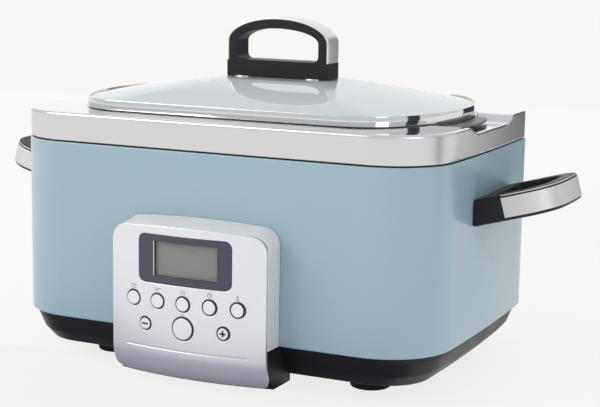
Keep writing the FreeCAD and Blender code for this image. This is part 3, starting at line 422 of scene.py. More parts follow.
def make_finishes():
    paint = Finish("body_paint", (0.31, 0.44, 0.50), 0.36, Coat_Weight=0.5, Coat_Roughness=0.16)
    paint.relief(paint.noise(420.0, detail=2.0), 0.000008)
    paint.gloss(paint.noise(30.0), 0.33, 0.40)
    paint.tint(paint.noise(9.0), (0.306, 0.435, 0.494), (0.314, 0.445, 0.506))
    glass = Finish("lid_glass", (0.90, 0.95, 0.95), 0.0, Transmission_Weight=0.38, IOR=1.5)
    glass.gloss(glass.noise(25.0), 0.0, 0.012)
    tinted = Finish("tinted_window", (0.034, 0.032, 0.058), 0.1, Coat_Weight=0.4, Coat_Roughness=0.03)
    tinted.gloss(tinted.noise(70.0), 0.08, 0.13)
    lens = Finish("display_lens", (0.86, 0.86, 0.86), 0.02, Transmission_Weight=1.0, IOR=1.2)
    lens.gloss(lens.noise(70.0), 0.01, 0.03)
    lcd = Finish("lcd", (0.42, 0.41, 0.395), 0.45)
    lcd.tint(lcd.noise(45.0), (0.41, 0.40, 0.385), (0.44, 0.43, 0.415))
    lcd.relief(lcd.noise(2500.0), 0.000004)
    pot = Finish("pot_metal", (0.22, 0.22, 0.23), 0.42, 0.85)
    pot.relief(pot.noise(500.0, detail=4.0), 0.00003)
    pot.gloss(pot.noise(90.0), 0.34, 0.5)
    pot.tint(pot.noise(260.0, detail=4.0), (0.17, 0.17, 0.18), (0.29, 0.29, 0.30))
    cast = Finish("cast_aluminium", (0.55, 0.55, 0.56), 0.5, 1.0)
    cast.relief(cast.noise(700.0, detail=4.0), 0.00006)
    cast.tint(cast.noise(120.0), (0.48, 0.48, 0.49), (0.6, 0.6, 0.61))
    zinc = Finish("zinc_sheet", (0.55, 0.56, 0.57), 0.4, 1.0)
    zinc.tint(zinc.noise(150.0, detail=1.0), (0.46, 0.47, 0.48), (0.62, 0.63, 0.64))
    zinc.gloss(zinc.noise(150.0, detail=1.0), 0.3, 0.5)
    made = {
        "body_paint": paint, "lid_glass": glass, "tinted_window": tinted, "lcd": lcd,
        "display_lens": lens, "pot_metal": pot, "cast_aluminium": cast, "zinc_sheet": zinc,
        "stainless": brushed("stainless", (0.70, 0.695, 0.70), 0.26, (25, 25, 2600)),
        "satin_steel": metal("satin_steel", (0.72, 0.71, 0.70), 0.5, metallic=0.75),
        "strap_steel": metal("strap_steel", (0.80, 0.79, 0.78), 0.3, metallic=0.85),
        "polished_steel": metal("polished_steel", (0.76, 0.755, 0.76), 0.06),
        "black_plastic": plastic("black_plastic", (0.010, 0.009, 0.012), 0.42, specular=0.3),
        "panel_silver": metal("panel_silver", (0.80, 0.80, 0.84), 0.34, metallic=0.75),
        "bezel_silver": metal("bezel_silver", (0.80, 0.775, 0.75), 0.4, metallic=0.15),
        "key_silver": metal("key_silver", (0.84, 0.84, 0.87), 0.34, metallic=0.7),
        "rubber": plastic("rubber", (0.006, 0.006, 0.007), 0.8, 500.0, 0.00004, specular=0.15),
        "screw_steel": metal("screw_steel", (0.6, 0.6, 0.6), 0.3, scale=300.0),
        "heater_sheath": metal("heater_sheath", (0.35, 0.34, 0.33), 0.45),
        "ceramic": plastic("ceramic", (0.75, 0.73, 0.68), 0.6),
        "board_green": plastic("board_green", (0.02, 0.14, 0.05), 0.3),
        "electronics": plastic("electronics", (0.03, 0.03, 0.035), 0.4),
        "lead_insulation": plastic("lead_insulation", (0.55, 0.1, 0.08), 0.5),
        "ribbon_grey": plastic("ribbon_grey", (0.4, 0.4, 0.42), 0.5),
        "ink": plastic("ink", (0.035, 0.035, 0.045), 0.5),
        "print_grey": plastic("print_grey", (0.20, 0.20, 0.23), 0.5),
    }
    return {name: finish.material for name, finish in made.items()}


FINISH = make_finishes()
for part in frame["record"]["subparts"]:
    for material_slot in frame["nodes"][part["node"]].material_slots:
        material_slot.material = FINISH[part["material_slot"]]

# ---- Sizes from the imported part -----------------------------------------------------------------
collar_low, collar_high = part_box("collar")
shell_low, shell_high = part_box("outer_shell")
lid_low, lid_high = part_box("lid_rim")
base_low, base_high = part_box("base_tray")
face_low, face_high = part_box("panel_face")
bezel_low, bezel_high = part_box("panel_bezel")
grip_low, grip_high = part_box("lid_handle")
strap_low, strap_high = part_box("lid_handle_strap")
_, loop_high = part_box("side_handle_right")
pot_low, pot_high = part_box("cooking_pot")
glass_low, glass_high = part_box("lid_glass")
CENTRE_Y = (collar_low.y + collar_high.y) / 2

BODY = Outline(collar_high.x, collar_high.y - CENTRE_Y, 56 * MM, 4.8 * MM, 1 * MM)
LID = Outline(lid_high.x, lid_high.y - CENTRE_Y, 50 * MM, 44 * MM, 3 * MM)

NOTCH_DEPTH = 6.2 * MM           # the finger notch at each end of the collar
NOTCH_FLAT = 35.6 * MM
NOTCH_TOP = 58 * MM
LEDGE_DROP = 2.6 * MM            # the lid's ledge, below the collar's deck
VENT_HALF = 15 * MM              # half the length of a vent slot


# ---- Housing ------------------------------------------------------------------------------------
def outer_shell():
    low, high, proud, lip = shell_low.z, shell_high.z, -0.8 * MM, 1.2 * MM
    profile = rounded([(proud, low, 0.8 * MM), (proud, high, 1.1 * MM), (9 * MM, high, 0),
                       (9 * MM, high - lip, 0), (proud + lip, high - lip, 0),
                       (proud + lip, low + lip, 0), (12 * MM, low + lip, 0), (12 * MM, low, 0)])
    shell = make("outer_shell_painted", swept(BODY, profile), "body_paint", nodes=["outer_shell"])
    slots = []
    for side, turn in ((1, 27), (-1, 153)):
        x, y = side * BODY.corner[0], BODY.corner[1] + CENTRE_Y
        for level in range(4):
            z = 160.1 * MM + 5.8 * MM * level
            ring = rounded([(-VENT_HALF, z - 1.1 * MM, 1 * MM), (VENT_HALF, z - 1.1 * MM, 1 * MM),
                            (VENT_HALF, z + 1.1 * MM, 1 * MM), (-VENT_HALF, z + 1.1 * MM, 1 * MM)], hold=0)
            out, along = (cos(radians(turn)), sin(radians(turn))), (-sin(radians(turn)), cos(radians(turn)))
            rings = [[(x + out[0] * r + along[0] * a, y + out[1] * r + along[1] * a, h) for a, h in ring]
                     for r in (50 * MM, 62 * MM)]
            slots.append(loft(rings, cap=True))
    cut(shell, joined(slots))


def in_notch(y):
    """1 on the notch's floor, 0 outside it, with an S-shaped side between."""
    t = min(max((NOTCH_TOP - abs(y - CENTRE_Y)) / (NOTCH_TOP - NOTCH_FLAT), 0.0), 1.0)
    return t * t * (3 - 2 * t)


def notched(ring, fall):
    return [(x, y, z - fall * in_notch(y)) for x, y, z in ring]


def between(ring_a, ring_b, t):
    return [tuple(p + (q - p) * t for p, q in zip(a, b)) for a, b in zip(ring_a, ring_b)]


def collar():
    top, sheet = collar_high.z, 1.2 * MM
    ledge, seat = top - LEDGE_DROP, 12 * MM
    wall = rounded([(1.15 * MM, collar_low.z, 0), (0, collar_low.z, 1.1 * MM), (0, top, 2.4 * MM),
                    (6 * MM, top, 0)], closed=False)
    outside = [notched(lifted(BODY.loop(i), z), NOTCH_DEPTH if z > collar_low.z + 9 * MM else 0)
               for i, z in wall[:-1]]
    flat_out = lifted(BODY.loop(3.4 * MM), top)
    rim = rounded([(-6 * MM, top, 0), (-0.8 * MM, top, 1.2 * MM), (-0.8 * MM, ledge, 0.4 * MM),
                   (seat, ledge, 0.8 * MM), (seat, ledge - 5 * MM, 0)], closed=False)
    inside = [(lifted(LID.loop(i), z), min(NOTCH_DEPTH, z - (top - NOTCH_DEPTH)) if z >= ledge else 0)
              for i, z in rim[1:]]
    flat_in = lifted(LID.loop(rim[1][0] - 1 * MM), top)
    deck = [notched(between(flat_out, flat_in, k / 8), NOTCH_DEPTH) for k in range(9)]
    inner = [notched(ring, max(fall, 0)) for ring, fall in inside]
    under = [notched(lifted(LID.loop(seat + sheet), ledge - 5 * MM), 0),
             notched(lifted(LID.loop(seat + sheet), ledge - sheet), NOTCH_DEPTH - LEDGE_DROP),
             notched(lifted(LID.loop(-2 * MM), ledge - sheet), NOTCH_DEPTH - LEDGE_DROP),
             notched(lifted(LID.loop(-2 * MM), top - sheet), NOTCH_DEPTH),
             notched(lifted(BODY.loop(2.6 * MM), top - sheet), NOTCH_DEPTH),
             notched(lifted(BODY.loop(sheet), top - 3 * MM), NOTCH_DEPTH),
             lifted(BODY.loop(sheet), collar_low.z + 1 * MM)]
    piece = make("collar_steel", loft(outside + deck + inner + under, wrap=True), "stainless",
                 nodes=["collar"])
    piece.data.materials.append(FINISH["polished_steel"])
    for face in piece.data.polygons:
        if face.normal.z > 0.5 or abs(face.center.x) < LID.half_x and face.center.z > ledge - 6 * MM \
                and abs(face.center.y - CENTRE_Y) < LID.half_y + 2 * MM:
            face.material_index = 1


def gasket():
    low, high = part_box("shell_gasket")
    profile = [(1 * MM, low.z), (1 * MM, high.z), (5 * MM, high.z), (5 * MM, low.z)]
    make("shell_gasket_black", swept(BODY, profile), "rubber", nodes=["shell_gasket"])


def base_tray():
    z, height = base_low.z, base_high.z - base_low.z
    outer = rounded([(24 * MM, z, 0), (17.9 * MM, z, 2 * MM), (9.5 * MM, z + 9.4 * MM, 4 * MM),
                     (4.7 * MM, z + 21 * MM, 1.5 * MM), (0.3 * MM, z + height, 0.5 * MM),
                     (3.2 * MM, z + height, 0)], closed=False)
    inner = [(3.2 * MM, z + height - 2 * MM), (7 * MM, z + 22 * MM), (12.5 * MM, z + 9.6 * MM),
             (20.4 * MM, z + 2.5 * MM)]
    tray = make("base_tray_moulded", swept(BODY, outer + inner, wrap=False, cap=True), "black_plastic",
                nodes=["base_tray"])
    slots = []
    for side in (-1, 1):
        for k in range(6):
            x, y = (20 * k - 50) * MM, CENTRE_Y + side * 62 * MM
            ring = rounded([(x - 2 * MM, y - 18 * MM, 1.9 * MM), (x + 2 * MM, y - 18 * MM, 1.9 * MM),
                            (x + 2 * MM, y + 18 * MM, 1.9 * MM), (x - 2 * MM, y + 18 * MM, 1.9 * MM)],
                           hold=0)
            slots.append(loft([[(a, b, h) for a, b in ring] for h in (z - 2 * MM, z + 4 * MM)], cap=True))
    cut(tray, joined(slots))


def feet():
    for name in ("foot_front_left", "foot_front_right", "foot_rear_left", "foot_rear_right"):
        low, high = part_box(name)
        centre = ((low.x + high.x) / 2, (low.y + high.y) / 2)
        r = (high.x - low.x) / 2
        profile = rounded([(5.5 * MM, 6 * MM, 0), (5.5 * MM, 0, 0.6 * MM), (r - 2.4 * MM, 0, 1.6 * MM),
                           (r - 1.2 * MM, high.z * 0.5, 0.8 * MM), (r, high.z * 0.6, 0.8 * MM),
                           (r, high.z, 0)], closed=False)
        make(name + "_pad", turned(profile, centre, "Z"), "rubber", nodes=[name])


# ---- Side handles -------------------------------------------------------------------------------
TILT = radians(15.7)             # the loop rises outwards
LOOP_HEIGHT = 21.5 * MM
LOOP_HALF_WIDTH = loop_high.y - CENTRE_Y
LOOP_REACH = 66.5 * MM           # from the shell to the outer end, along the loop
LOOP_BAR = 13 * MM
LOOP_ROOT = Vector((196 * MM, 0, 156.7 * MM))
ROOT_BAR = 9.5 * MM
PLATE_START = 22 * MM
LOOP = Outline(LOOP_REACH, LOOP_HALF_WIDTH, 26 * MM, 5 * MM, 0.6 * MM)


def on_loop(side):
    """Point of the right or left handle from its own length, width and depth below its top."""
    def place(u, v, depth):
        near = min(max((ROOT_BAR - u) / (ROOT_BAR + 1 * MM), 0.0), 1.0)
        along = u - depth * tan(TILT) * near
        return (side * (LOOP_ROOT.x + along * cos(TILT) + depth * sin(TILT)), CENTRE_Y + v,
                LOOP_ROOT.z + along * sin(TILT) - depth * cos(TILT))
    return place


def side_handles():
    outer = LOOP.half(0, -1 * MM)
    inner = LOOP.half(LOOP_BAR, ROOT_BAR)
    start, stop = inner[0][1], inner[-1][1]
    inner = rounded([(ROOT_BAR, start, 5 * MM)] + [(x, y, 0) for x, y in inner if x > ROOT_BAR + 8 * MM]
                    + [(ROOT_BAR, stop, 5 * MM)])
    for side, word in ((1, "right"), (-1, "left")):
        place = on_loop(side)
        make("side_handle_%s_loop" % word,
             plate([outer, inner[::-1]], place, LOOP_HEIGHT, front=1.8 * MM, back=2.4 * MM),
             "black_plastic", nodes=["side_handle_" + word])
        section = rounded([(1 * MM, 2.6 * MM, 0.3 * MM), (-0.5 * MM, 2.6 * MM, 0.5 * MM),
                           (-0.5 * MM, 19 * MM, 0.5 * MM), (1 * MM, 19 * MM, 0.3 * MM)], steps=3)
        lip = rounded([(1.6 * MM, 0.5 * MM, 0.1 * MM), (0.1 * MM, 0.5 * MM, 0.3 * MM),
                       (0.1 * MM, 1.7 * MM, 0.3 * MM), (1.6 * MM, 1.7 * MM, 0.1 * MM)], steps=3)
        strips = []
        for shape in (section, lip):
            paths = [LOOP.half(inset, PLATE_START) for inset, _ in shape]
            rings = [[place(x, y, depth) for (x, y), (_, depth) in zip(column, shape)]
                     for column in zip(*paths)]
            strips.append(loft(rings, cap=True))
        make("handle_plate_%s_satin" % word, joined(strips), "satin_steel",
             nodes=["handle_plate_" + word])


# ---- Control panel ------------------------------------------------------------------------------
FACE_R = 310 * MM                # the face is bowed about an upright axis
FACE_AXIS_Y = face_low.y + FACE_R
FACE_HALF = face_high.x
FACE_THICKNESS = 2.5 * MM
BEND_Z = 32 * MM                 # below this the face curls back
BEND_R = 26.85 * MM
TOP_CROWN = 3 * MM
STRAIGHT_Z = 100 * MM            # a height at which the face doesn't curl
SHY = 2.2 * MM                   # how far the bezel stops short of the face at its upper corners
WINDOW_LOW, WINDOW_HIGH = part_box("display_window")
LCD_LOW, LCD_HIGH = (-26.4 * MM, 94.9 * MM), (29.8 * MM, 122.5 * MM)
BUTTONS = {
    "slow_cook": 6.6 * MM, "brown": 6.6 * MM, "steam": 6.6 * MM, "time": 6.6 * MM, "temp": 6.6 * MM,
    "minus": 5.7 * MM, "start": 9.8 * MM, "plus": 5.7 * MM,
}
CAP_GAP = 1.15 * MM
CAP_PROUD = 0.9 * MM
CAP_BEVEL = 0.3 * MM
PRINT_PROUD = 0.04 * MM


def on_face(x, z, depth):
    """Point at a depth below the bowed face, which curls back at the bottom."""
    back, height = depth, z
    if z < BEND_Z:
        fall = (BEND_Z - z) / BEND_R
        back = BEND_R - (BEND_R - depth) * sqrt(1 - fall ** 2)
        height = BEND_Z - (BEND_R - depth) * fall
    return (x, FACE_AXIS_Y - sqrt((FACE_R - back) ** 2 - x ** 2), height)


def sunk(by):
    """The bowed face, moved back by a distance, or forward where it is negative."""
    def place(x, z, depth):
        return on_face(x, z, depth + by)
    return place


def arched(half, top, bottom, top_r, bottom_r):
    """Panel outline, anticlockwise from its lower left corner."""
    side = top - TOP_CROWN
    crown = [(half * 0.18 * k, top - TOP_CROWN * (0.18 * k) ** 2, 0) for k in range(4, -5, -1)]
    return divided(rounded([(-half, bottom, bottom_r), (half, bottom, bottom_r), (half, side, top_r)]
                           + crown + [(-half, side, top_r)], steps=8, hold=0))


def box_loop(low, high, r):
    """Clockwise rounded rectangle."""
    return divided(rounded([(low[0], low[1], r), (low[0], high[1], r), (high[0], high[1], r),
                            (high[0], low[1], r)], steps=6, hold=0))


def button_place(name):
    low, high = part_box("button_" + name)
    return (low.x + high.x) / 2, (low.z + high.z) / 2


def panel_face():
    outline = arched(FACE_HALF, face_high.z, face_low.z, 14 * MM, 9 * MM)
    window = box_loop((WINDOW_LOW.x - 0.2 * MM, WINDOW_LOW.z - 0.2 * MM),
                      (WINDOW_HIGH.x + 0.2 * MM, WINDOW_HIGH.z + 0.2 * MM), 6 * MM)
    holes = [circle(*button_place(name), r) for name, r in BUTTONS.items()]
    groove = box_loop((-55 * MM, 35.1 * MM), (55 * MM, 35.9 * MM), 0.35 * MM)
    loops = [outline, window, groove] + holes
    inner = grid(loops, 3 * MM, 2 * MM, 1.6 * MM)
    make("panel_face_plated", plate(loops, on_face, FACE_THICKNESS, front=0.6 * MM, inner=inner),
         "panel_silver", nodes=["panel_face"])
    floor = box_loop((-56 * MM, 34.4 * MM), (56 * MM, 36.6 * MM), 0.4 * MM)[::-1]
    make("panel_groove_floor", plate([floor], sunk(0.7 * MM), 0.4 * MM), "panel_silver")


def near_corner(x, z):
    """0 over most of the bezel, rising to 1 at its upper corners."""
    out, up = (abs(x) - 20 * MM) / (40 * MM), (z - 112 * MM) / (16 * MM)
    return min(max(out, 0), 1) * min(max(up, 0), 1)


def panel_bezel():
    outline = arched(FACE_HALF, bezel_high.z, bezel_low.z, 14 * MM, 0)
    wall, drop = 2.5 * MM, 3.5 * MM
    section = [(0.9 * MM, 0.0), (0.25 * MM, 0.012), (0, 0.045), (0, 0.07), (0, 0.5), (0, 0.94), (0, 0.965),
               (0.35 * MM, 0.99), (1 * MM, 1.0), (wall, 1.0), (wall, 0.0)]
    rings = []
    for inset, forward in section:
        path = offset(outline, inset)[1:] + offset(outline, inset)[:1]
        ring = []
        for x, z in path:
            z = max(z, bezel_low.z)
            front = on_face(x, STRAIGHT_Z, FACE_THICKNESS + 0.3 * MM + SHY * near_corner(x, z) ** 2)[1]
            ring.append((x, bezel_high.y + (front - bezel_high.y) * forward, z - drop * forward *
                         min((z - bezel_low.z) / (20 * MM), 1.0)))
        rings.append(ring)
    make("panel_bezel_plated", loft(rings, closed=False, wrap=True, cap=True), "bezel_silver",
         nodes=["panel_bezel"])


def panel_gap_shade():
    """Black strip just behind the face's edge, seen where the bezel stops short of the face: painted shade in
    the gap between them.
    """
    outer = arched(FACE_HALF - 0.9 * MM, face_high.z - 0.9 * MM, 45 * MM, 13 * MM, 3 * MM)
    inner = arched(FACE_HALF - 2.4 * MM, face_high.z - 2.4 * MM, 47 * MM, 12 * MM, 3 * MM)

    behind = sunk(FACE_THICKNESS + 0.05 * MM)
    make("panel_gap_painted_shade", plate([outer, inner[::-1]], behind, 3.4 * MM), "rubber")


def window():
    border = box_loop((WINDOW_LOW.x, WINDOW_LOW.z), (WINDOW_HIGH.x, WINDOW_HIGH.z), 5.8 * MM)[::-1]
    clear = box_loop(LCD_LOW, LCD_HIGH, 0.6 * MM)
    below = sunk(0.15 * MM)
    inner = grid([border, clear], 6 * MM, 6 * MM, 1.5 * MM)
    make("display_window_border", plate([border, clear], below, 1.9 * MM, front=0.25 * MM, inner=inner),
         "tinted_window", nodes=["display_window"])
    # Silver strip on the window just left of the LCD: the LCD frame's edge, drawn on the face as a painted
    # highlight line.
    highlight_x = LCD_LOW[0] - 0.9 * MM
    edge = box_loop((highlight_x - 0.3 * MM, LCD_LOW[1]), (highlight_x + 0.3 * MM, LCD_HIGH[1]), 0.1 * MM)[::-1]
    make("display_edge_painted_highlight", plate([edge], on_face, 0.12 * MM), "bezel_silver")
    make("display_lens", plate([clear[::-1]], below, 0.8 * MM, front=0.1 * MM,
                               inner=grid([clear[::-1]], 6 * MM, 6 * MM, 1.5 * MM)),
         "display_lens")


def buttons():
    for name, hole in BUTTONS.items():
        x, z = button_place(name)
        r = hole - CAP_GAP
        front = on_face(x, z, 0)[1] - CAP_PROUD
        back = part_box("button_" + name)[1].y
        lip_front = on_face(abs(x) + hole + 1.2 * MM, z, FACE_THICKNESS)[1] + 0.3 * MM
        disc = [(r * t, front) for t in (0.04, 0.5)]
        edge = [(r - CAP_BEVEL * (1 - sin(radians(a))), front + CAP_BEVEL * (1 - cos(radians(a))))
                for a in (0, 30, 60, 90)]
        ring = on_face(x, z, 0)[1] + 0.15 * MM
        skirt = [(r, ring), (hole - 0.15 * MM, ring), (hole - 0.15 * MM, lip_front),
                 (hole + 1.2 * MM, lip_front),
                 (hole + 1.2 * MM, lip_front + 1.5 * MM), (2.5 * MM, lip_front + 1.5 * MM), (2.5 * MM, back)]
        cap = make("button_%s_cap" % name, turned(disc + edge + skirt, (x, z), "Y"), "key_silver",
                   body="key_" + name, nodes=["button_" + name])
        # The skirt and lip behind each cap's bevel take the dark finish: painted shade in the gap round the
        # key.
        cap.data.materials.append(FINISH["electronics"])
        for face in cap.data.polygons:
            if face.center.y > front + CAP_BEVEL:
                face.material_index = 1


def symbol(strokes, x, z, width, place):
    """Thin raised print: each stroke is a list of points in millimetres about a centre."""
    parts = []
    for stroke in strokes:
        path = [(x + a * MM, z + b * MM) for a, b in stroke]
        rings = []
        for i, (a, b) in enumerate(path):
            ax, az = path[max(i - 1, 0)]
            bx, bz = path[min(i + 1, len(path) - 1)]
            side = Vector((az - bz, bx - ax)).normalized() * width / 2
            rings.append([place(a + side.x * s, b + side.y * s, d)
                          for s, d in ((-1, 0), (1, 0), (1, 0.06 * MM), (-1, 0.06 * MM))])
        parts.append(loft(rings, cap=True))
    return parts


def ring_path(x, y, r, start=0.0, stop=360.0):
    count = 20
    return [(x + r * cos(radians(start + (stop - start) * k / count)),
             y + r * sin(radians(start + (stop - start) * k / count))) for k in range(count + 1)]


def wave(x):
    return [(x + 0.35 * sin(k * pi / 5), -1.7 + 0.34 * k) for k in range(11)]


def panel_print():
    """Small pictograms above the keys, and the signs on the two step keys."""
    icons = {
        "slow_cook": [[(-2, 0.7), (-2, -1.5), (2, -1.5), (2, 0.7)], [(-2.7, 0.75), (2.7, 0.75)],
                      [(-0.6, 1.6), (0.6, 1.6)]],
        "brown": [[(-2.6, 0.6), (-2.2, -0.9), (1.0, -0.9), (1.4, 0.6)], [(-2.9, 0.6), (3.6, 0.6)]],
        "steam": [wave(-1.5), wave(0), wave(1.5)],
        "time": [ring_path(0, 0, 1.8), [(0, 1.2), (0, 0), (0.8, 0)]],
        "temp": [ring_path(0, -1.1, 0.8, 120, 420), [(-0.4, -0.4), (-0.4, 1.8), (0.4, 1.8), (0.4, -0.4)]],
    }
    proud = sunk(-PRINT_PROUD)
    parts = []
    for name, strokes in icons.items():
        x, z = button_place(name)
        parts += symbol(strokes, x, z + 9.8 * MM, 0.5 * MM, proud)
    x, z = button_place("start")
    parts += symbol([[(-1, -1.1), (-1, 1.1), (1.2, 0), (-1, -1.1)]], x, z + 11.6 * MM, 0.35 * MM, proud)
    make("panel_pictograms", joined(parts), "print_grey")
    signs = {"minus": [[(-2.7, 0), (2.7, 0)]], "plus": [[(-2.7, 0), (2.7, 0)], [(0, -2.7), (0, 2.7)]]}
    for name, strokes in signs.items():
        x, z = button_place(name)
        front = on_face(x, z, 0)[1] - CAP_PROUD - PRINT_PROUD

        def on_cap(a, b, depth, front=front):
            return (a, front + depth, b)

        make("button_%s_sign" % name, joined(symbol(strokes, x, z, 1.5 * MM, on_cap)), "ink",
             body="key_" + name)


# ---- Pot and lid --------------------------------------------------------------------------------
def pot():
    low, top, wall = pot_low.z, pot_high.z, 2.5 * MM
    profile = rounded([(44 * MM, low, 0), (24 * MM, low, 8 * MM), (18 * MM, top - wall, 1.5 * MM),
                       (2 * MM, top - wall, 1 * MM), (2 * MM, top, 1 * MM), (20.5 * MM, top, 2 * MM),
                       (26.5 * MM, low + 3 * MM, 10 * MM), (48 * MM, low + 3 * MM, 0)], closed=False)
    body = swept(LID, profile, wrap=False, cap=True)
    ears = []
    reach, half, ear_r, inner = pot_high.x, 40 * MM, 106 * MM, 152 * MM
    rim = [(reach - ear_r + sqrt(ear_r ** 2 - v * v), v) for v in [half * (k / 8 - 1) for k in range(17)]]
    outline = rounded([(inner, -half, 0)] + [(x, v, 3 * MM if abs(v) == half else 0) for x, v in rim]
                      + [(inner, half, 0)], hold=0)
    for side in (1, -1):
        def on_ear(x, v, depth, side=side):
            return (side * x, CENTRE_Y + v, top - 1.9 * MM - depth)

        ears.append(plate([outline], on_ear, 2.3 * MM, front=0.7 * MM, back=0.7 * MM))
    make("cooking_pot_cast", joined([body] + ears), "pot_metal", "pot", ["cooking_pot"])


def lid_rim():
    low, high = lid_low.z, lid_high.z
    profile = rounded([(1.2 * MM, low, 0.5 * MM), (0.35 * MM, low, 0.35 * MM),
                       (0, (low + high) / 2 - 1 * MM, 0), (0, (low + high) / 2 + 1 * MM, 0),
                       (0.4 * MM, high, 0.5 * MM), (1.8 * MM, high, 0.2 * MM), (1.8 * MM, high - 1.4 * MM, 0),
                       (1.4 * MM, high - 1.4 * MM, 0), (1.4 * MM, low + 2 * MM, 0), (7 * MM, low + 2 * MM, 0),
                       (7 * MM, low, 0)])
    make("lid_rim_polished", swept(LID, profile), "polished_steel", "lid", ["lid_rim"])


FLAT_CROWN = 0.3                 # share of the glass, round the handle, that is level
DOME_POWER = 1.25


def dome(scale):
    """Height of the glass over its edge, as a share of its rise: level round the handle."""
    return 1 - (max(scale - FLAT_CROWN, 0) / (1 - FLAT_CROWN)) ** DOME_POWER


def lid_glass():
    edge, crown, glass = lid_high.z - 1.6 * MM, glass_high.z, 4 * MM
    rise = crown - edge
    scales = [0.03, 0.15, 0.28, 0.31, 0.34, 0.38] + [0.38 + 0.62 * k / 14 for k in range(1, 15)]
    top_loop, under_loop, edge_loop = LID.loop(2.0 * MM), LID.loop(8 * MM), LID.loop(1.5 * MM)

    def scaled(loop, s, z):
        return lifted([(x * s, y * s) for x, y in loop], z)

    rings = [scaled(top_loop, s, edge + rise * dome(s)) for s in scales]
    rings += [lifted(edge_loop, edge), lifted(edge_loop, glass_low.z)]
    rings += [scaled(under_loop, s, edge - glass + rise * dome(s)) for s in reversed(scales)]
    make("lid_glass_dome", loft(rings, cap=True), "lid_glass", "lid", ["lid_glass"])


GRIP_HALF = grip_high.x
STRAP = 1.5 * MM
GRIP_STEP = strap_low.z
GRIP_SHOULDER = 272.5 * MM
GRIP_BAR = 8 * MM


def arch(half, top, steps=40):
    """Half ellipse from +X over the top to -X, with the outward direction at each point."""
    rise = top - GRIP_SHOULDER
    path = []
    for k in range(steps + 1):
        a = pi * k / steps
        out = Vector((cos(a) * rise, sin(a) * half)).normalized()
        path.append(((half * cos(a), GRIP_SHOULDER + rise * sin(a)), out))
    return path


def lid_handle():
    foot = grip_low.z - 0.3 * MM
    leg, top, y0 = GRIP_HALF - STRAP, strap_high.z - STRAP, grip_low.y
    depth = grip_high.y - grip_low.y
    over = [(x, z, 0) for (x, z), _ in arch(leg, top)]
    outer = rounded([(-GRIP_HALF, foot, 1.6 * MM), (GRIP_HALF, foot, 1.6 * MM),
                     (GRIP_HALF, GRIP_STEP, 0.9 * MM), (leg, GRIP_STEP, 0)] + over
                    + [(-leg, GRIP_STEP, 0), (-GRIP_HALF, GRIP_STEP, 0.9 * MM)], hold=0)
    bar = leg - GRIP_BAR
    over = [(x, z, 0) for (x, z), _ in arch(bar, top - GRIP_BAR)]
    hole = rounded([(-bar, GRIP_STEP + 0.5 * MM, 5 * MM), (bar, GRIP_STEP + 0.5 * MM, 5 * MM)] + over, hold=0)

    def place(x, z, d):
        return (x, y0 + d, z)

    make("lid_handle_grip", plate([outer, hole[::-1]], place, depth, front=0.6 * MM, back=0.6 * MM),
         "black_plastic", "lid", ["lid_handle"])
    ring_y, ring_x, ring_r = (grip_low.y + grip_high.y) / 2, 34 * MM, depth / 2 + 1.6 * MM
    profile = rounded([(4 * MM, foot + 0.1 * MM, 0), (ring_r, foot + 0.1 * MM, 0.3 * MM),
                       (ring_r, foot + 1.3 * MM, 0.5 * MM), (4 * MM, foot + 1.3 * MM, 0)], closed=False)
    rings = [turned(profile, (side * ring_x, ring_y), "Z") for side in (-1, 1)]
    make("lid_handle_rosettes", joined(rings), "polished_steel", "lid")
    half_width = (strap_high.y - strap_low.y) / 2
    section = rounded([(0, -half_width, 0), (STRAP, -half_width, 0.7 * MM), (STRAP * 1.15, 0, 0),
                       (STRAP, half_width, 0.7 * MM), (0, half_width, 0)], steps=4)
    legs = [((leg, GRIP_STEP + 0.1 * MM), Vector((1, 0))), ((leg, GRIP_SHOULDER - 6 * MM), Vector((1, 0)))]
    path = legs + arch(leg, top) + [((-x, z), Vector((-1, 0))) for (x, z), _ in reversed(legs)]
    rings = [[(x + out.x * t, CENTRE_Y + v, z + out.y * t) for t, v in section] for (x, z), out in path]
    make("lid_handle_strap_bright", loft(rings, cap=True), "strap_steel", "lid", ["lid_handle_strap"])


# ---- Studio -------------------------------------------------------------------------------------
def aim(obj, place, target):
    obj.location = place
    obj.rotation_euler = (Vector(target) - Vector(place)).to_track_quat("-Z", "Y").to_euler()


def camera():
    """Three-quarter view from the front right, a little above the lid, rolled by under a degree."""
    turn, lift, roll = radians(25.376), radians(9.774), radians(-0.887)
    back = Vector((sin(turn) * cos(lift), -cos(turn) * cos(lift), sin(lift)))
    right = Vector((cos(turn), sin(turn), 0))
    up = back.cross(right)
    data = bpy.data.cameras.new("camera")
    data.lens, data.sensor_width, data.clip_start = 89.80, 36.0, 0.05
    obj = bpy.data.objects.new("camera", data)
    bpy.context.scene.collection.objects.link(obj)
    axes = Matrix((cos(roll) * right - sin(roll) * up, sin(roll) * right + cos(roll) * up, back)).transposed()
    obj.matrix_world = Matrix.Translation((0.576765, -1.159815, 0.355367)) @ axes.to_4x4()
    bpy.context.scene.camera = obj


def softbox(name, place, target, width, height, power):
    data = bpy.data.lights.new(name, "AREA")
    data.shape, data.size, data.size_y, data.energy = "RECTANGLE", width, height, power
    obj = bpy.data.objects.new(name, data)
    bpy.context.scene.collection.objects.link(obj)
    aim(obj, place, target)


def flat_piece(name, corners, finish):
    """Four-cornered studio card: two corners along one edge, then the two opposite them."""
    bm = loft([corners[:2], corners[2:]], closed=False)
    mesh = bpy.data.meshes.new(name)
    bm.to_mesh(mesh)
    bm.free()
    piece = bpy.data.objects.new(name, mesh)
    bpy.context.scene.collection.objects.link(piece)
    mesh.materials.append(finish.material)
    return piece


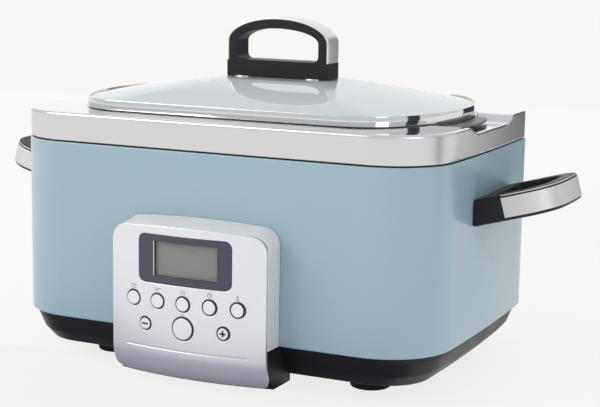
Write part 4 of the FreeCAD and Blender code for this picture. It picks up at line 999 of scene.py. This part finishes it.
def flag(name, heading, spread, reach, height, finish):
    """Dark studio card that stands on the floor and shows only in what the object reflects."""
    ends = [(reach * cos(radians(heading + t)), reach * sin(radians(heading + t))) for t in (-spread, spread)]
    low, high = [(x, y, 0.004) for x, y in ends], [(x, y, height) for x, y in ends]
    hide_from_camera(flat_piece(name, low + high, finish))


def hide_from_camera(piece):
    """Leave a studio card in reflections only, with no picture and no shadow of its own."""
    piece.visible_camera = piece.visible_shadow = False


def studio():
    half = 14
    finish = Finish("floor", (0.13, 0.13, 0.13), 0.8, Specular_IOR_Level=0.1,
                    Emission_Color=(1, 0.985, 0.965, 1), Emission_Strength=0.82)
    finish.tint(finish.noise(3.0), (0.128, 0.128, 0.128), (0.132, 0.132, 0.132))
    flat_piece("floor", [(-half, -half, 0), (half, -half, 0), (-half, half, 0), (half, half, 0)], finish)
    dark = Finish("flag_cloth", (0.03, 0.03, 0.045), 0.9)
    dark.tint(dark.noise(8.0), (0.028, 0.028, 0.042), (0.032, 0.032, 0.048))
    flag("flag_side", 10, 4.5, 1.1, 0.5, dark)
    flag("flag_end", 70, 12, 1.1, 0.6, dark)
    # Grey card on the floor in front, seen only in reflections and bounce light: painted shade standing in
    # for the floor's contact shade near the object.
    painted_shade_cloth = Finish("painted_shade_grey", (0.28, 0.28, 0.34), 0.9)
    painted_shade_cloth.tint(painted_shade_cloth.noise(8.0), (0.27, 0.27, 0.33), (0.29, 0.29, 0.35))
    hide_from_camera(flat_piece("painted_floor_shade", [(-0.3, -0.255, 0.003), (0.2, -0.255, 0.003),
                                               (-0.3, -0.1, 0.003), (0.2, -0.1, 0.003)], painted_shade_cloth))
    world = bpy.data.worlds.new("studio")
    bpy.context.scene.world = world
    world.use_nodes = True
    world.node_tree.nodes["Background"].inputs["Color"].default_value = (0.95, 0.97, 1.0, 1)
    world.node_tree.nodes["Background"].inputs["Strength"].default_value = 0.75
    softbox("key", (-1.5, -1.5, 1.5), (0, 0, 0.12), 1.4, 1.4, 22)
    softbox("fill", (1.6, -0.9, 0.9), (0, 0, 0.12), 0.8, 1.0, 4)
    glow = Finish("rear_glow", (0, 0, 0), 1.0, Emission_Color=(0.97, 0.985, 1, 1), Emission_Strength=1.05)
    card = flat_piece("rear_card", [(-2.6, 1.6, 0.05), (0.6, 2.6, 0.05), (-2.6, 1.6, 1.6), (0.6, 2.6, 1.6)],
                      glow)
    hide_from_camera(card)
    card.visible_diffuse = False
    bpy.context.scene.view_settings.view_transform = "Standard"


outer_shell()
collar()
gasket()
base_tray()
feet()
side_handles()
panel_face()
panel_bezel()
panel_gap_shade()
window()
buttons()
panel_print()
pot()
lid_rim()
lid_glass()
lid_handle()
camera()
studio()
